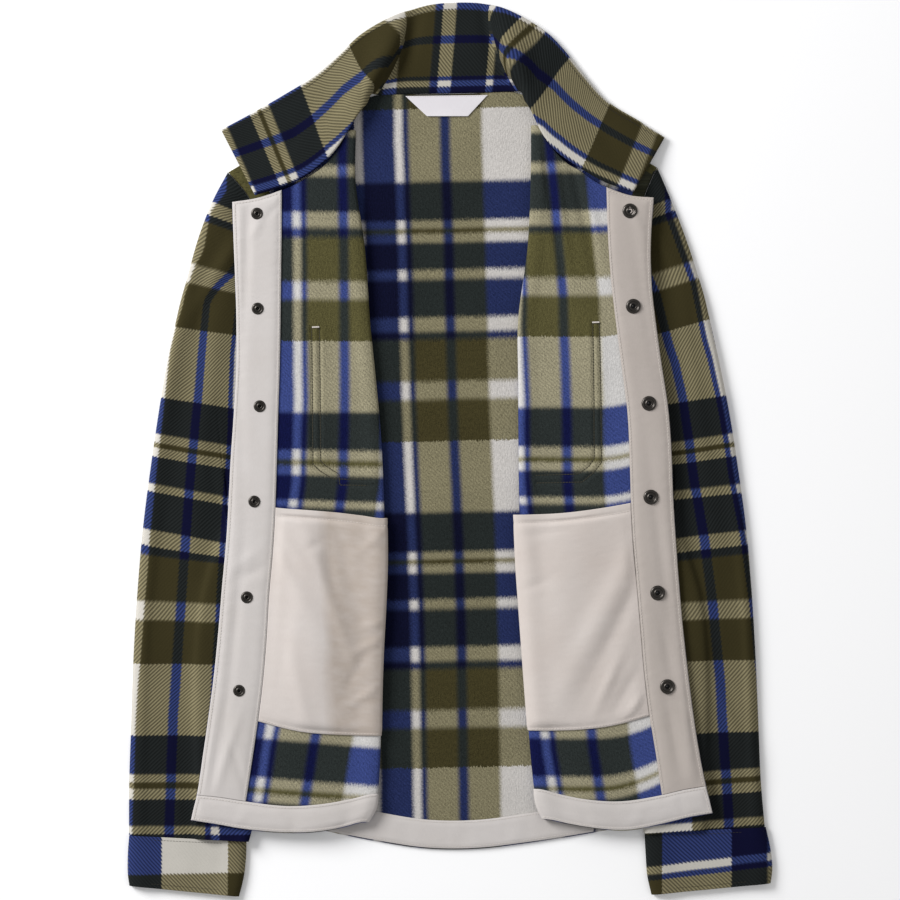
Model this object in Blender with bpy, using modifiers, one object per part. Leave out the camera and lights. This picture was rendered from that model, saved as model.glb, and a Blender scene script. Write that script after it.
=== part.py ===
"""Plaid fleece shirt jacket, laid open on its back, as a Blender 4.5 model of its cut pieces.

The tables are in millimetres and the meshes in metres. +X is the wearer's left, +Y runs
towards the collar and +Z is up. The jacket lies on z = 0, with the middle of its outline at
the origin. Both fronts are folded back over the sleeves, so that their inside faces show.
"""
import math
from collections import namedtuple

import bmesh
import bpy
import numpy as np

COLLECTION = "plaid_shirt_jacket"
MM = 0.001
MERGE = 0.00001

# Cloth walls and the levels at which they lie
FLEECE = 2.0
COTTON = 1.0
POCKET_PATCH = 1.1
COLLAR_WALL = 4.0
CUFF_WALL = 2.4
LABEL_WALL = 0.6
SEAM_GAP = 0.3
FRONT_UNDER = FLEECE + SEAM_GAP
FRONT_OVER = 8.2
SLEEVE_RISE = 2.8
SLEEVE_OVER_BODY = FRONT_UNDER + FLEECE + 0.6
HEM_RISE = 1.4

# Flat sizes along and across the garment
UNDERARM_Y = -48.5
SLEEVE_HEIGHT = 5.4
SLEEVE_HEAD_HEIGHT = 5.0
CUFF_HEIGHT = 6.2
HEM_SWEEP = 1.43

# Where a sleeve climbs from the ground on to the body, from the body's side edge outwards
SLEEVE_RAMP = 9.0
SLEEVE_RAMP_START = 2.0
UNDERARM_CLEARANCE = 2.0
UNDERARM_BLEND = 17.0
# Where a front climbs on to its sleeve, and where it lies on the back's hem facing
FRONT_RAMP_X = 92.0
FRONT_RAMP = 56.0
HEM_RISE_TOP = -275.0
HEM_RISE_BLEND = 40.0
HEM_RISE_SIDE = 160.0
HEM_RISE_SIDE_BLEND = 34.0

# Fractions of the way from the facing's inner edge (0) to the fold (1); the front edge is -1
UPPER_STATIONS = (-1.0, -0.5, 0.0, 0.36, 0.6, 0.82, 1.0)
UNDER_STATIONS = (0.2, 0.4, 0.7, 1.0)
ROW_KNOTS = (-1.0, 0.0, 0.36, 0.68, 1.0)
FOLD_ANGLES = (36, 72, 108, 144, 180)
TUBE_ANGLES = (45, 90, 135)
FACING_COLUMN = 2
POCKET_COLUMN = 3
TURN_COLUMN = len(UPPER_STATIONS) - 1
WRAP_COLUMN = TURN_COLUMN + 2
POCKET_END_COLUMN = TURN_COLUMN + len(FOLD_ANGLES) + 2

Edge = namedtuple("Edge", "y front facing fold")
FrontRow = namedtuple("FrontRow", "front facing pocket middle fold side bow")
SleeveRing = namedtuple("SleeveRing", "outer_x outer_y inner_x inner_y head")
CuffRing = namedtuple("CuffRing", "outer_x outer_y inner_x inner_y")
CollarColumn = namedtuple("CollarColumn", "neck_x neck_y edge_x edge_y bow z0 z1 z2 z3 z4")
BackRow = namedtuple("BackRow", "right middle left")
SoftFold = namedtuple("SoftFold", "x y angle length width height")

# Where the front edge, the facing's inner edge and the fold lie at each height
FRONT_EDGES = {
    "right": (
        Edge(308.0, -208.3, -160.8, -90.2),
        Edge(239.5, -208.8, -161.3, -89.3),
        Edge(208.8, -207.8, -161.3, -83.5),
        Edge(143.5, -205.4, -162.2, -78.7),
        Edge(95.5, -204.5, -162.7, -73.9),
        Edge(47.5, -206.4, -164.2, -69.1),
        Edge(-0.5, -209.8, -165.6, -65.3),
        Edge(-48.5, -212.2, -167.0, -63.4),
        Edge(-106.1, -216.0, -170.4, -62.4),
        Edge(-144.5, -219.8, -173.8, -63.4),
        Edge(-192.5, -223.7, -176.6, -65.3),
        Edge(-240.5, -229.4, -181.4, -66.2),
        Edge(-288.5, -236.2, -188.2, -66.7),
        Edge(-329.8, -242.4, -194.4, -69.1),
        Edge(-343.2, -245.6, -196.8, -71.0),
        Edge(-357.6, -249.0, -199.7, -78.7),
    ),
    "left": (
        Edge(311.0, 195.8, 148.8, 77.8),
        Edge(239.5, 195.4, 150.2, 76.8),
        Edge(181.9, 192.0, 152.6, 73.0),
        Edge(143.5, 194.9, 156.5, 66.2),
        Edge(95.5, 200.6, 162.2, 65.3),
        Edge(47.5, 208.3, 169.0, 65.3),
        Edge(-0.5, 212.2, 171.8, 65.8),
        Edge(-48.5, 214.1, 173.3, 66.2),
        Edge(-106.1, 217.9, 176.6, 68.2),
        Edge(-144.5, 220.8, 180.5, 70.1),
        Edge(-192.5, 225.6, 184.3, 72.0),
        Edge(-240.5, 231.4, 189.1, 73.9),
        Edge(-288.5, 238.6, 196.8, 76.8),
        Edge(-325.0, 246.0, 202.1, 80.6),
        Edge(-339.4, 249.6, 204.5, 82.6),
        Edge(-355.2, 253.4, 207.4, 89.3),
    ),
}

# Heights of each row of a front at its named lines, from the neckline down to the hem
FRONT_ROWS = {
    "right": (
        FrontRow(236.9, 248.5, 260.4, 277.0, 306.5, 266.4, 9.6),
        FrontRow(203.0, 212.6, 223.2, 236.6, 260.6, 239.5, 4.8),
        FrontRow(164.6, 170.4, 177.1, 184.8, 196.3, 191.5, 1.9),
        FrontRow(123.4, 121.4, 120.0, 119.5, 118.6, 133.9, 0.0),
        FrontRow(80.2, 79.2, 77.3, 75.4, 73.4, 76.3, 0.0),
        FrontRow(32.2, 28.3, 24.5, 21.6, 18.7, 23.5, 0.0),
        FrontRow(-15.8, -22.6, -27.4, -31.2, -33.1, -17.8, 0.0),
        FrontRow(-49.4, -55.6, -58.4, -61.4, -65.8, UNDERARM_Y, 0.0),
        FrontRow(-89.8, -96.5, -100.3, -103.2, -106.1, -86.9, 0.0),
        FrontRow(-133.0, -139.7, -143.5, -146.4, -148.3, -130.1, 0.0),
        FrontRow(-174.2, -181.0, -186.7, -189.6, -190.6, -173.3, 0.0),
        FrontRow(-214.6, -221.3, -228.0, -231.8, -232.8, -211.7, 0.0),
        FrontRow(-251.0, -260.2, -270.2, -273.4, -274.5, -250.1, 0.0),
        FrontRow(-290.4, -299.0, -306.7, -307.7, -302.9, -283.7, 0.0),
        FrontRow(-330.7, -336.9, -341.3, -337.9, -329.8, -312.5, 0.0),
        FrontRow(-343.2, -350.4, -354.4, -352.8, -343.2, -325.0, 0.0),
        FrontRow(-355.7, -363.8, -367.5, -365.8, -357.6, -336.5, 0.0),
    ),
    "left": (
        FrontRow(241.2, 251.2, 266.2, 282.2, 311.0, 271.2, 9.6),
        FrontRow(205.0, 214.6, 226.1, 240.5, 265.4, 239.5, 4.8),
        FrontRow(164.6, 169.4, 176.2, 183.8, 196.3, 191.5, 1.9),
        FrontRow(125.3, 123.8, 122.9, 122.4, 121.4, 133.9, 0.0),
        FrontRow(83.0, 81.1, 79.2, 77.3, 75.4, 76.3, 0.0),
        FrontRow(37.0, 33.1, 29.3, 25.4, 22.6, 23.5, 0.0),
        FrontRow(-10.1, -16.8, -23.5, -27.4, -29.3, -17.8, 0.0),
        FrontRow(-43.7, -51.0, -57.4, -61.2, -62.5, UNDERARM_Y, 0.0),
        FrontRow(-85.0, -92.6, -99.4, -103.2, -105.1, -86.9, 0.0),
        FrontRow(-127.2, -134.9, -141.6, -145.4, -147.4, -130.1, 0.0),
        FrontRow(-168.5, -176.2, -182.9, -186.7, -188.6, -173.3, 0.0),
        FrontRow(-207.8, -215.5, -224.2, -229.0, -230.9, -211.7, 0.0),
        FrontRow(-245.3, -254.9, -265.4, -268.9, -269.3, -250.1, 0.0),
        FrontRow(-283.7, -293.3, -301.9, -302.9, -298.1, -283.7, 0.0),
        FrontRow(-322.1, -330.7, -336.8, -333.6, -325.0, -317.3, 0.0),
        FrontRow(-335.5, -344.4, -351.4, -348.5, -339.4, -332.6, 0.0),
        FrontRow(-349.0, -358.2, -365.3, -361.9, -355.2, -346.1, 0.0),
    ),
}
POCKET_PATCH_ROWS = (3, 6)
POCKET_BAG_ROWS = (7, 12)
HEM_FACING_ROWS = (14, 16)

# The armhole seam, from the shoulder tip to the underarm
ARMHOLE = {
    "right": ((-213.1, 266.4), (-192.0, 239.5), (-180.5, 191.5), (-174.7, 133.9),
              (-174.2, 76.3), (-180.0, 23.5), (-189.0, -17.8), (-201.7, UNDERARM_Y)),
    "left": ((198.7, 271.2), (185.8, 239.5), (179.5, 191.5), (175.7, 133.9),
             (174.7, 76.3), (180.0, 23.5), (190.0, -17.8), (203.7, UNDERARM_Y)),
}

# The side edge of the body, from the underarm to the hem, as height and place
SIDE_EDGE = {
    "right": ((UNDERARM_Y, -201.7), (-78.0, -211.0), (-106.0, -221.5), (-144.5, -232.0),
              (-180.0, -236.2), (-350.0, -236.2)),
    "left": ((UNDERARM_Y, 203.7), (-78.0, 213.0), (-106.0, 223.5), (-144.5, 234.0),
             (-180.0, 238.1), (-350.0, 238.1)),
}

# Sleeve rings from the armhole to the cuff; head is how far a ring follows the armhole's curve
SLEEVE_RINGS = {
    "right": (
        SleeveRing(-213.1, 266.4, -201.7, -48.5, 1.0),
        SleeveRing(-227.5, 239.5, -206.1, -52.3, 0.86),
        SleeveRing(-241.0, 205.0, -209.4, -57.6, 0.7),
        SleeveRing(-252.5, 164.6, -211.3, -64.8, 0.52),
        SleeveRing(-263.0, 124.3, -211.1, -73.4, 0.34),
        SleeveRing(-271.7, 84.0, -208.0, -84.0, 0.18),
        SleeveRing(-280.3, 33.1, -197.0, -94.6, 0.06),
        SleeveRing(-288.0, -19.7, -186.2, -108.0, 0.0),
        SleeveRing(-294.2, -67.7, -172.8, -130.1, 0.0),
        SleeveRing(-299.5, -125.3, -164.2, -163.7, 0.0),
        SleeveRing(-303.8, -192.5, -162.2, -206.9, 0.0),
        SleeveRing(-306.2, -259.7, -166.1, -254.9, 0.0),
        SleeveRing(-308.2, -317.3, -175.7, -312.5, 0.0),
        SleeveRing(-308.5, -370.4, -192.5, -376.3, 0.0),
    ),
    "left": (
        SleeveRing(198.7, 271.2, 203.7, -48.5, 1.0),
        SleeveRing(212.2, 239.5, 208.0, -52.3, 0.86),
        SleeveRing(225.6, 205.0, 211.3, -57.6, 0.7),
        SleeveRing(239.0, 164.6, 213.3, -64.8, 0.52),
        SleeveRing(249.6, 124.3, 213.0, -73.4, 0.34),
        SleeveRing(258.7, 84.0, 210.0, -84.0, 0.18),
        SleeveRing(268.8, 33.1, 198.5, -94.6, 0.06),
        SleeveRing(277.0, -19.7, 188.2, -108.0, 0.0),
        SleeveRing(283.7, -67.7, 174.7, -130.1, 0.0),
        SleeveRing(289.0, -125.3, 166.1, -163.7, 0.0),
        SleeveRing(293.3, -192.5, 164.2, -206.9, 0.0),
        SleeveRing(296.2, -259.7, 168.0, -254.9, 0.0),
        SleeveRing(298.6, -317.3, 175.7, -312.5, 0.0),
        SleeveRing(302.4, -362.4, 185.8, -368.2, 0.0),
    ),
}
CUFF_RINGS = {
    "right": (
        CuffRing(-308.4, -370.8, -195.3, -376.5),
        CuffRing(-309.8, -389.3, -196.0, -394.1),
        CuffRing(-309.9, -405.6, -198.1, -411.4),
        CuffRing(-308.2, -419.0, -202.6, -429.4),
    ),
    "left": (
        CuffRing(303.6, -362.7, 186.8, -368.5),
        CuffRing(308.2, -384.5, 187.9, -390.2),
        CuffRing(309.8, -403.7, 189.7, -411.4),
        CuffRing(308.2, -416.6, 193.5, -427.7),
    ),
}
CUFF_FRACTIONS = (0.0, 0.25, 0.5, 0.75, 1.0)

# Rings whose head is above this are divided evenly; the others where they pass the body's side
# edge, whose fractions stay within these limits
EVEN_HEAD = 0.4
RAMP_FRACTIONS = (0.3, 0.78)
EDGE_FRACTION_STEP = 0.05
EDGE_FRACTION_MOST = 0.92
HEAD_FADE = 1.5

# Collar columns from the wearer's right end to the left end; z0 to z4 are heights of the
# underside from the neck seam to the outer edge, and bow bends a column sideways
COLLAR_COLUMNS = (
    CollarColumn(-186.6, 242.9, -219.8, 306.7, 0.0, 14.0, 10.0, 6.6, 3.6, 1.6),
    CollarColumn(-162.2, 251.0, -192.0, 321.7, 0.0, 13.2, 9.8, 6.4, 3.2, 1.0),
    CollarColumn(-138.2, 261.6, -160.3, 339.9, 0.0, 11.6, 9.4, 6.2, 3.0, 0.8),
    CollarColumn(-112.3, 283.7, -128.6, 359.9, 0.0, 10.8, 9.2, 6.2, 3.0, 0.8),
    CollarColumn(-97.0, 305.8, -105.6, 379.7, 0.0, 10.8, 9.2, 6.2, 3.2, 1.0),
    CollarColumn(-86.0, 324.2, -84.5, 398.9, 0.0, 10.8, 9.6, 7.2, 4.6, 2.0),
    CollarColumn(-75.8, 342.7, -44.2, 420.0, 4.5, 3.0, 9.0, 9.6, 6.4, 2.8),
    CollarColumn(-69.1, 340.9, -36.5, 422.9, 4.5, 0.0, 0.0, 0.0, 0.0, 0.0),
    CollarColumn(-36.5, 341.6, -16.3, 427.7, 0.0, 0.0, 0.0, 0.0, 0.0, 0.0),
    CollarColumn(-2.9, 342.2, 4.8, 429.4, 0.0, 0.0, 0.0, 0.0, 0.0, 0.0),
    CollarColumn(30.7, 342.9, 22.1, 429.3, 0.0, 0.0, 0.0, 0.0, 0.0, 0.0),
    CollarColumn(61.0, 344.0, 33.6, 428.2, -4.5, 0.0, 0.0, 0.0, 0.0, 0.0),
    CollarColumn(68.6, 345.1, 45.1, 425.5, -4.5, 3.0, 9.0, 9.6, 6.4, 2.8),
    CollarColumn(77.4, 325.0, 91.2, 401.3, 0.0, 10.8, 9.6, 7.2, 4.6, 2.0),
    CollarColumn(87.4, 303.9, 108.5, 384.5, 0.0, 10.8, 9.2, 6.2, 3.2, 1.0),
    CollarColumn(101.8, 285.6, 127.7, 360.5, 0.0, 10.8, 9.2, 6.2, 3.0, 0.8),
    CollarColumn(124.8, 269.4, 150.7, 334.6, 0.0, 11.6, 9.4, 6.2, 3.0, 0.8),
    CollarColumn(149.8, 255.0, 182.4, 314.9, 0.0, 13.2, 9.8, 6.4, 3.2, 1.0),
    CollarColumn(175.7, 246.2, 206.1, 299.4, 0.0, 14.0, 10.0, 6.6, 3.6, 1.6),
)
COLLAR_STATIONS = (0.0, 0.12, 0.3, 0.5, 0.72, 0.9, 1.0)
COLLAR_KNOTS = (0.0, 0.25, 0.5, 0.75, 1.0)

# The back's top edge follows the shoulders and the neck seam; other rows give heights at the
# right side, the middle and the left side
BACK_TOP = ((-213.1, 266.4), (-160.3, 299.0), (-115.2, 320.2), (-71.0, 340.3), (-25.0, 341.3),
            (19.2, 342.0), (61.4, 343.5), (105.6, 323.0), (150.7, 300.0), (198.7, 271.2))
BACK_STATIONS = (-1.0, -0.75, -0.52, -0.3, -0.1, 0.1, 0.3, 0.52, 0.75, 1.0)
BACK_ROWS = (
    BackRow(239.5, 290.0, 239.5),
    BackRow(191.5, 240.0, 191.5),
    BackRow(133.9, 170.0, 133.9),
    BackRow(76.3, 100.0, 76.3),
    BackRow(23.5, 30.0, 23.5),
    BackRow(-17.8, -25.0, -17.8),
    BackRow(UNDERARM_Y, -60.0, UNDERARM_Y),
    BackRow(-86.9, -105.0, -86.9),
    BackRow(-130.1, -150.0, -130.1),
    BackRow(-190.0, -215.0, -190.0),
    BackRow(-250.0, -290.0, -250.0),
    BackRow(-303.8, -357.6, -315.4),
    BackRow(-336.5, -385.4, -348.0),
)
BACK_FACING_COLUMNS = (2, 7)

# Snaps, at the centre of each on its facing
STUDS = ((-184.7, 225.8), (-184.1, 134.9), (-182.2, 41.4), (-187.3, -49.8), (-194.4, -141.5),
         (-201.9, -230.9))
SOCKETS = ((172.3, 228.4), (175.5, 137.1), (190.5, 44.1), (192.3, -45.6), (198.8, -137.3),
           (208.2, -227.0))
SNAP_STEPS = 16
# Radius and height of each turn of the profile, from the outer foot up to the crown and the bottom
STUD_PROFILE = ((5.6, 0.0), (5.6, 0.8), (4.7, 1.5), (3.1, 1.4), (2.6, 2.9), (1.2, 3.1),
                (1.2, 1.2), (0.0, 1.2))
SOCKET_PROFILE = ((7.0, 0.0), (7.0, 1.0), (6.1, 2.0), (4.4, 2.1), (3.6, 1.0), (1.5, 0.9),
                  (0.0, 1.6))

LABEL_OUTLINE = ((-42.9, 339.6), (36.2, 340.6), (17.3, 320.2), (-22.1, 320.2))

# Long soft folds of the opened fronts: centre, direction, length, width and height
SOFT_FOLDS = {
    "right": (
        SoftFold(-222.0, -270.0, 83.0, 150.0, 26.0, 1.2),
        SoftFold(-100.0, -160.0, 62.0, 190.0, 70.0, 1.5),
        SoftFold(-110.0, 215.0, 80.0, 150.0, 60.0, 1.2),
    ),
    "left": (
        SoftFold(226.0, -265.0, 97.0, 150.0, 26.0, 1.2),
        SoftFold(150.0, -190.0, 58.0, 190.0, 70.0, 1.5),
        SoftFold(106.0, 225.0, 96.0, 170.0, 60.0, 1.6),
    ),
}

MATERIALS = {
    "plaid_fleece_outside": ((0.10, 0.10, 0.10, 1.0), 0.92, 0.0),
    "plaid_fleece_inside": ((0.13, 0.13, 0.14, 1.0), 0.95, 0.0),
    "facing_cotton": ((0.66, 0.60, 0.56, 1.0), 0.80, 0.0),
    "label_satin": ((0.85, 0.84, 0.84, 1.0), 0.50, 0.0),
    "snap_metal": ((0.07, 0.065, 0.06, 1.0), 0.30, 1.0),
}


def clear_scene():
    """Remove every object, so that the script can run again in the same file."""
    for item in list(bpy.data.objects):
        bpy.data.objects.remove(item, do_unlink=True)


def make_material(name):
    """Return the named Principled material."""
    colour, roughness, metallic = MATERIALS[name]
    material = bpy.data.materials.new(name)
    material.use_nodes = True
    shader = material.node_tree.nodes["Principled BSDF"]
    shader.inputs["Base Color"].default_value = colour
    shader.inputs["Roughness"].default_value = roughness
    shader.inputs["Metallic"].default_value = metallic
    return material


def smooth(knots, values, at):
    """Cubic curve through the values, with the slopes of their neighbours."""
    knots = np.asarray(knots, dtype=float)
    values = np.asarray(values, dtype=float)
    if knots[0] > knots[-1]:
        knots = knots[::-1]
        values = values[::-1]
    slopes = np.gradient(values, knots, axis=0)
    at = np.clip(np.asarray(at, dtype=float), knots[0], knots[-1])
    start = np.clip(np.searchsorted(knots, at, side="right") - 1, 0, len(knots) - 2)
    span = knots[start + 1] - knots[start]
    t = (at - knots[start]) / span
    return (values[start] * (1 + 2 * t) * (1 - t) ** 2 + span * slopes[start] * t * (1 - t) ** 2
            + values[start + 1] * t ** 2 * (3 - 2 * t) - span * slopes[start + 1] * t ** 2 * (1 - t))


def ramp(value):
    """Smooth step from 0 to 1."""
    t = np.clip(value, 0.0, 1.0)
    return t * t * (3 - 2 * t)


def side_edge(side, y):
    """Place of the body's side edge at a height."""
    heights, places = zip(*SIDE_EDGE[side])
    return float(smooth(heights, places, y))


def soft_folds(side, x, y):
    """Height that the long soft folds add to an opened front."""
    total = 0.0
    for fold in SOFT_FOLDS[side]:
        angle = math.radians(fold.angle)
        along = (x - fold.x) * math.cos(angle) + (y - fold.y) * math.sin(angle)
        across = (y - fold.y) * math.cos(angle) - (x - fold.x) * math.sin(angle)
        total += fold.height * math.exp(-(2 * along / fold.length) ** 2 - (2 * across / fold.width) ** 2)
    return total


def hem_rise(x, y):
    """Lift of a front where it lies on the back's hem facing."""
    below_top = ramp((HEM_RISE_TOP - y) / HEM_RISE_BLEND)
    return HEM_RISE * below_top * ramp((HEM_RISE_SIDE - abs(x)) / HEM_RISE_SIDE_BLEND)


def front_level(side, x, y):
    """Underside of an opened front: low at the fold, higher over the sleeve."""
    over_sleeve = ramp((abs(x) - FRONT_RAMP_X) / FRONT_RAMP)
    return FRONT_OVER + SLEEVE_RISE * over_sleeve + hem_rise(x, y) + soft_folds(side, x, y)


def front_grid(side):
    """Points of a front's inside face, from its front edge over the fold to its side edge."""
    outward = -1.0 if side == "right" else 1.0
    edges = FRONT_EDGES[side]
    heights = [edge.y for edge in edges]
    armhole = ARMHOLE[side]
    rows = []
    for index, row in enumerate(FRONT_ROWS[side]):
        front_x = float(smooth(heights, [edge.front for edge in edges], row.front))
        facing_x = float(smooth(heights, [edge.facing for edge in edges], row.facing))
        fold_x = float(smooth(heights, [edge.fold for edge in edges], row.fold))
        under = FRONT_UNDER + hem_rise(fold_x, row.fold)
        over = front_level(side, fold_x, row.fold) + FLEECE
        radius = (over - under) / 2
        turn_x = fold_x + outward * radius
        levels = (row.front, row.facing, row.pocket, row.middle, row.fold)
        points = []
        for station in UPPER_STATIONS:
            reach = front_x - facing_x if station < 0 else turn_x - facing_x
            x = facing_x + abs(station) * reach
            y = float(smooth(ROW_KNOTS, levels, station))
            points.append((x, y, front_level(side, x, y) + FLEECE))
        points[-1] = (turn_x, row.fold, over)
        for degrees in FOLD_ANGLES:
            angle = math.radians(degrees)
            x = turn_x - outward * radius * math.sin(angle)
            points.append((x, row.fold, under + radius + radius * math.cos(angle)))
        if index < len(armhole):
            side_x = armhole[index][0] - outward * SEAM_GAP
        else:
            side_x = side_edge(side, row.side)
        for station in UNDER_STATIONS:
            x = turn_x + station * (side_x - turn_x)
            y = row.fold + station * (row.side - row.fold) + 4 * row.bow * station * (1 - station)
            points.append((x, y, FRONT_UNDER + hem_rise(x, y)))
        rows.append(points)
    return np.array(rows)


def back_grid():
    """Points of the back's underside, which lies flat on the ground."""
    rows = [[(x, y, 0.0) for x, y in BACK_TOP]]
    for index, row in enumerate(BACK_ROWS):
        if index + 1 < len(ARMHOLE["right"]):
            right_x = ARMHOLE["right"][index + 1][0] + SEAM_GAP
            left_x = ARMHOLE["left"][index + 1][0] - SEAM_GAP
        else:
            right_x = side_edge("right", row.right)
            left_x = side_edge("left", row.left)
        points = []
        for station in BACK_STATIONS:
            x = (right_x + left_x) / 2 + station * (left_x - right_x) / 2
            end = row.right if station < 0 else row.left
            y = row.middle + (end - row.middle) * abs(station) ** HEM_SWEEP
            points.append((x, y, 0.0))
        rows.append(points)
    return np.array(rows)


def sleeve_base(side, x, y):
    """Height of a sleeve's underside: on the ground, or over the body's side edge."""
    clear = abs(x) - abs(side_edge(side, y)) - SLEEVE_RAMP_START
    below_underarm = ramp((UNDERARM_Y - UNDERARM_CLEARANCE - y) / UNDERARM_BLEND)
    return SLEEVE_OVER_BODY * (1 - ramp(clear / SLEEVE_RAMP)) * below_underarm


def flat_ring(line, bases, height, wall=0.0):
    """Closed ring of a flattened tube over a line in plan: along the top, back underneath.

    With a wall it is the ring of the tube's hollow, that far inside the outer one.
    """
    line = np.array(line)
    radius = height / 2
    first = line[1] - line[0]
    last = line[-1] - line[-2]
    first = first / np.linalg.norm(first)
    last = last / np.linalg.norm(last)
    line[0] += first * radius
    line[-1] -= last * radius
    top = [(p[0], p[1], base + height - wall) for p, base in zip(line, bases)]
    bottom = [(p[0], p[1], base + wall) for p, base in zip(line, bases)]
    inner = []
    outer = []
    for degrees in TUBE_ANGLES:
        angle = math.radians(degrees)
        reach = (radius - wall) * math.sin(angle)
        level = (radius - wall) * math.cos(angle)
        inner.append((*(line[-1] + last * reach), bases[-1] + radius + level))
        outer.append((*(line[0] - first * reach), bases[0] + radius - level))
    return top + inner + bottom[::-1] + outer


def crossing(side, ring, clearance, lowest, highest):
    """Fraction of a sleeve ring's width at which it passes the body's side edge."""
    outward = -1.0 if side == "right" else 1.0
    fraction = highest
    for _ in range(4):
        y = ring.outer_y + fraction * (ring.inner_y - ring.outer_y)
        edge_x = side_edge(side, y) + outward * clearance
        fraction = (edge_x - ring.outer_x) / (ring.inner_x - ring.outer_x)
        fraction = min(max(fraction, lowest), highest)
    return fraction


def sleeve_grid(side, wall=0.0):
    """Rings of a sleeve's outer face, or of its hollow, from the armhole down to the cuff."""
    outward = -1.0 if side == "right" else 1.0
    armhole = np.array(ARMHOLE[side]) + (outward * SEAM_GAP, 0.0)
    count = len(armhole)
    rings = SLEEVE_RINGS[side]
    first = rings[0]
    even = np.linspace(0.0, 1.0, count)
    chord = [(first.outer_x + t * (first.inner_x - first.outer_x),
              first.outer_y + t * (first.inner_y - first.outer_y)) for t in even]
    bulge = armhole - np.array(chord)
    grid = []
    for ring in rings:
        if ring.head > EVEN_HEAD:
            fractions = even
        else:
            at_ramp = crossing(side, ring, SLEEVE_RAMP_START + SLEEVE_RAMP, *RAMP_FRACTIONS)
            at_edge = crossing(side, ring, SLEEVE_RAMP_START, at_ramp + EDGE_FRACTION_STEP,
                               EDGE_FRACTION_MOST)
            rest = 1 - at_edge
            fractions = np.array([0, at_ramp / 3, 2 * at_ramp / 3, at_ramp, at_edge,
                                  at_edge + rest / 3, at_edge + 2 * rest / 3, 1.0])
        start = np.array((ring.outer_x, ring.outer_y))
        end = np.array((ring.inner_x, ring.inner_y))
        line = [start + t * (end - start) + ring.head ** (1 + HEAD_FADE * t) * bulge[i]
                for i, t in enumerate(fractions)]
        bases = [float(sleeve_base(side, p[0], p[1])) for p in line]
        height = SLEEVE_HEIGHT + (SLEEVE_HEAD_HEIGHT - SLEEVE_HEIGHT) * ring.head
        grid.append(flat_ring(line, bases, height, wall))
    return np.array(grid)


def cuff_grid(side, wall=0.0):
    """Rings of a cuff's outer face, or of its hollow, from the sleeve seam to the open end."""
    grid = []
    for ring in CUFF_RINGS[side]:
        start = np.array((ring.outer_x, ring.outer_y))
        end = np.array((ring.inner_x, ring.inner_y))
        line = [start + t * (end - start) for t in CUFF_FRACTIONS]
        grid.append(flat_ring(line, [0.0] * len(line), CUFF_HEIGHT, wall))
    return np.array(grid)


def collar_grid():
    """Points of the collar's underside, from its right end round the neck to its left end."""
    grid = []
    for column in COLLAR_COLUMNS:
        points = []
        for v in COLLAR_STATIONS:
            x = column.neck_x + v * (column.edge_x - column.neck_x) + 4 * column.bow * v * (1 - v)
            y = column.neck_y + v * (column.edge_y - column.neck_y)
            levels = (column.z0, column.z1, column.z2, column.z3, column.z4)
            z = float(smooth(COLLAR_KNOTS, levels, v))
            points.append((x, y, z))
        grid.append(points)
    return np.array(grid)


def grid_normals(grid):
    """Unit normals of a grid's points; they point up at its first column."""
    along = np.gradient(grid, axis=0)
    across = np.gradient(grid, axis=1)
    normals = np.cross(along, across)
    normals /= np.linalg.norm(normals, axis=2)[:, :, None]
    if normals[:, 0, 2].mean() < 0:
        normals = -normals
    return normals


def moved_out(grid, distance):
    """The grid's points moved along their normals."""
    return grid + distance * grid_normals(grid)


def parted(grid, row=0.0, column=0.0):
    """The grid with its first row and first column drawn in, to leave a seam gap."""
    grid = grid.copy()
    if column:
        step = grid[:, 1] - grid[:, 0]
        grid[:, 0] += column * step / np.linalg.norm(step, axis=1)[:, None]
    if row:
        step = grid[1] - grid[0]
        grid[0] += row * step / np.linalg.norm(step, axis=1)[:, None]
    return grid


def add_object(name, mesh, material):
    """Link a mesh to the jacket's collection with its material."""
    mesh.materials.append(material)
    item = bpy.data.objects.new(name, mesh)
    bpy.data.collections[COLLECTION].objects.link(item)
    return item


def grid_faces(build, grid, closed=False, flipped=False):
    """Add a grid's points and its triangles to a mesh, and return the points row by row."""
    rows, columns = grid.shape[:2]
    corners = [[build.verts.new(point * MM) for point in row] for row in grid]
    for i in range(rows - 1):
        for j in range(columns if closed else columns - 1):
            k = (j + 1) % columns
            a, b, c, d = corners[i][j], corners[i + 1][j], corners[i + 1][k], corners[i][k]
            for face in ((a, b, c), (a, c, d)):
                build.faces.new(face[::-1] if flipped else face)
    return corners


def faces_down(grid):
    """Whether the first cell of a grid, taken as it stands, faces the ground."""
    return np.cross(grid[1, 0] - grid[0, 0], grid[0, 1] - grid[0, 0])[2] < 0


def finished_mesh(name, build, material):
    """Turn a built mesh into a smooth-shaded object."""
    mesh = bpy.data.meshes.new(name)
    build.to_mesh(mesh)
    build.free()
    mesh.shade_smooth()
    return add_object(name, mesh, material)


def sheet(name, grid, thickness, material, outward, even=True):
    """Cloth wall on a grid of points, thickened along its normals or against them."""
    build = bmesh.new()
    grid_faces(build, grid, flipped=faces_down(grid))
    item = finished_mesh(name, build, material)
    solidify = item.modifiers.new("cloth wall", "SOLIDIFY")
    solidify.thickness = thickness * MM
    solidify.offset = 1.0 if outward else -1.0
    solidify.use_even_offset = even
    return item


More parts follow.
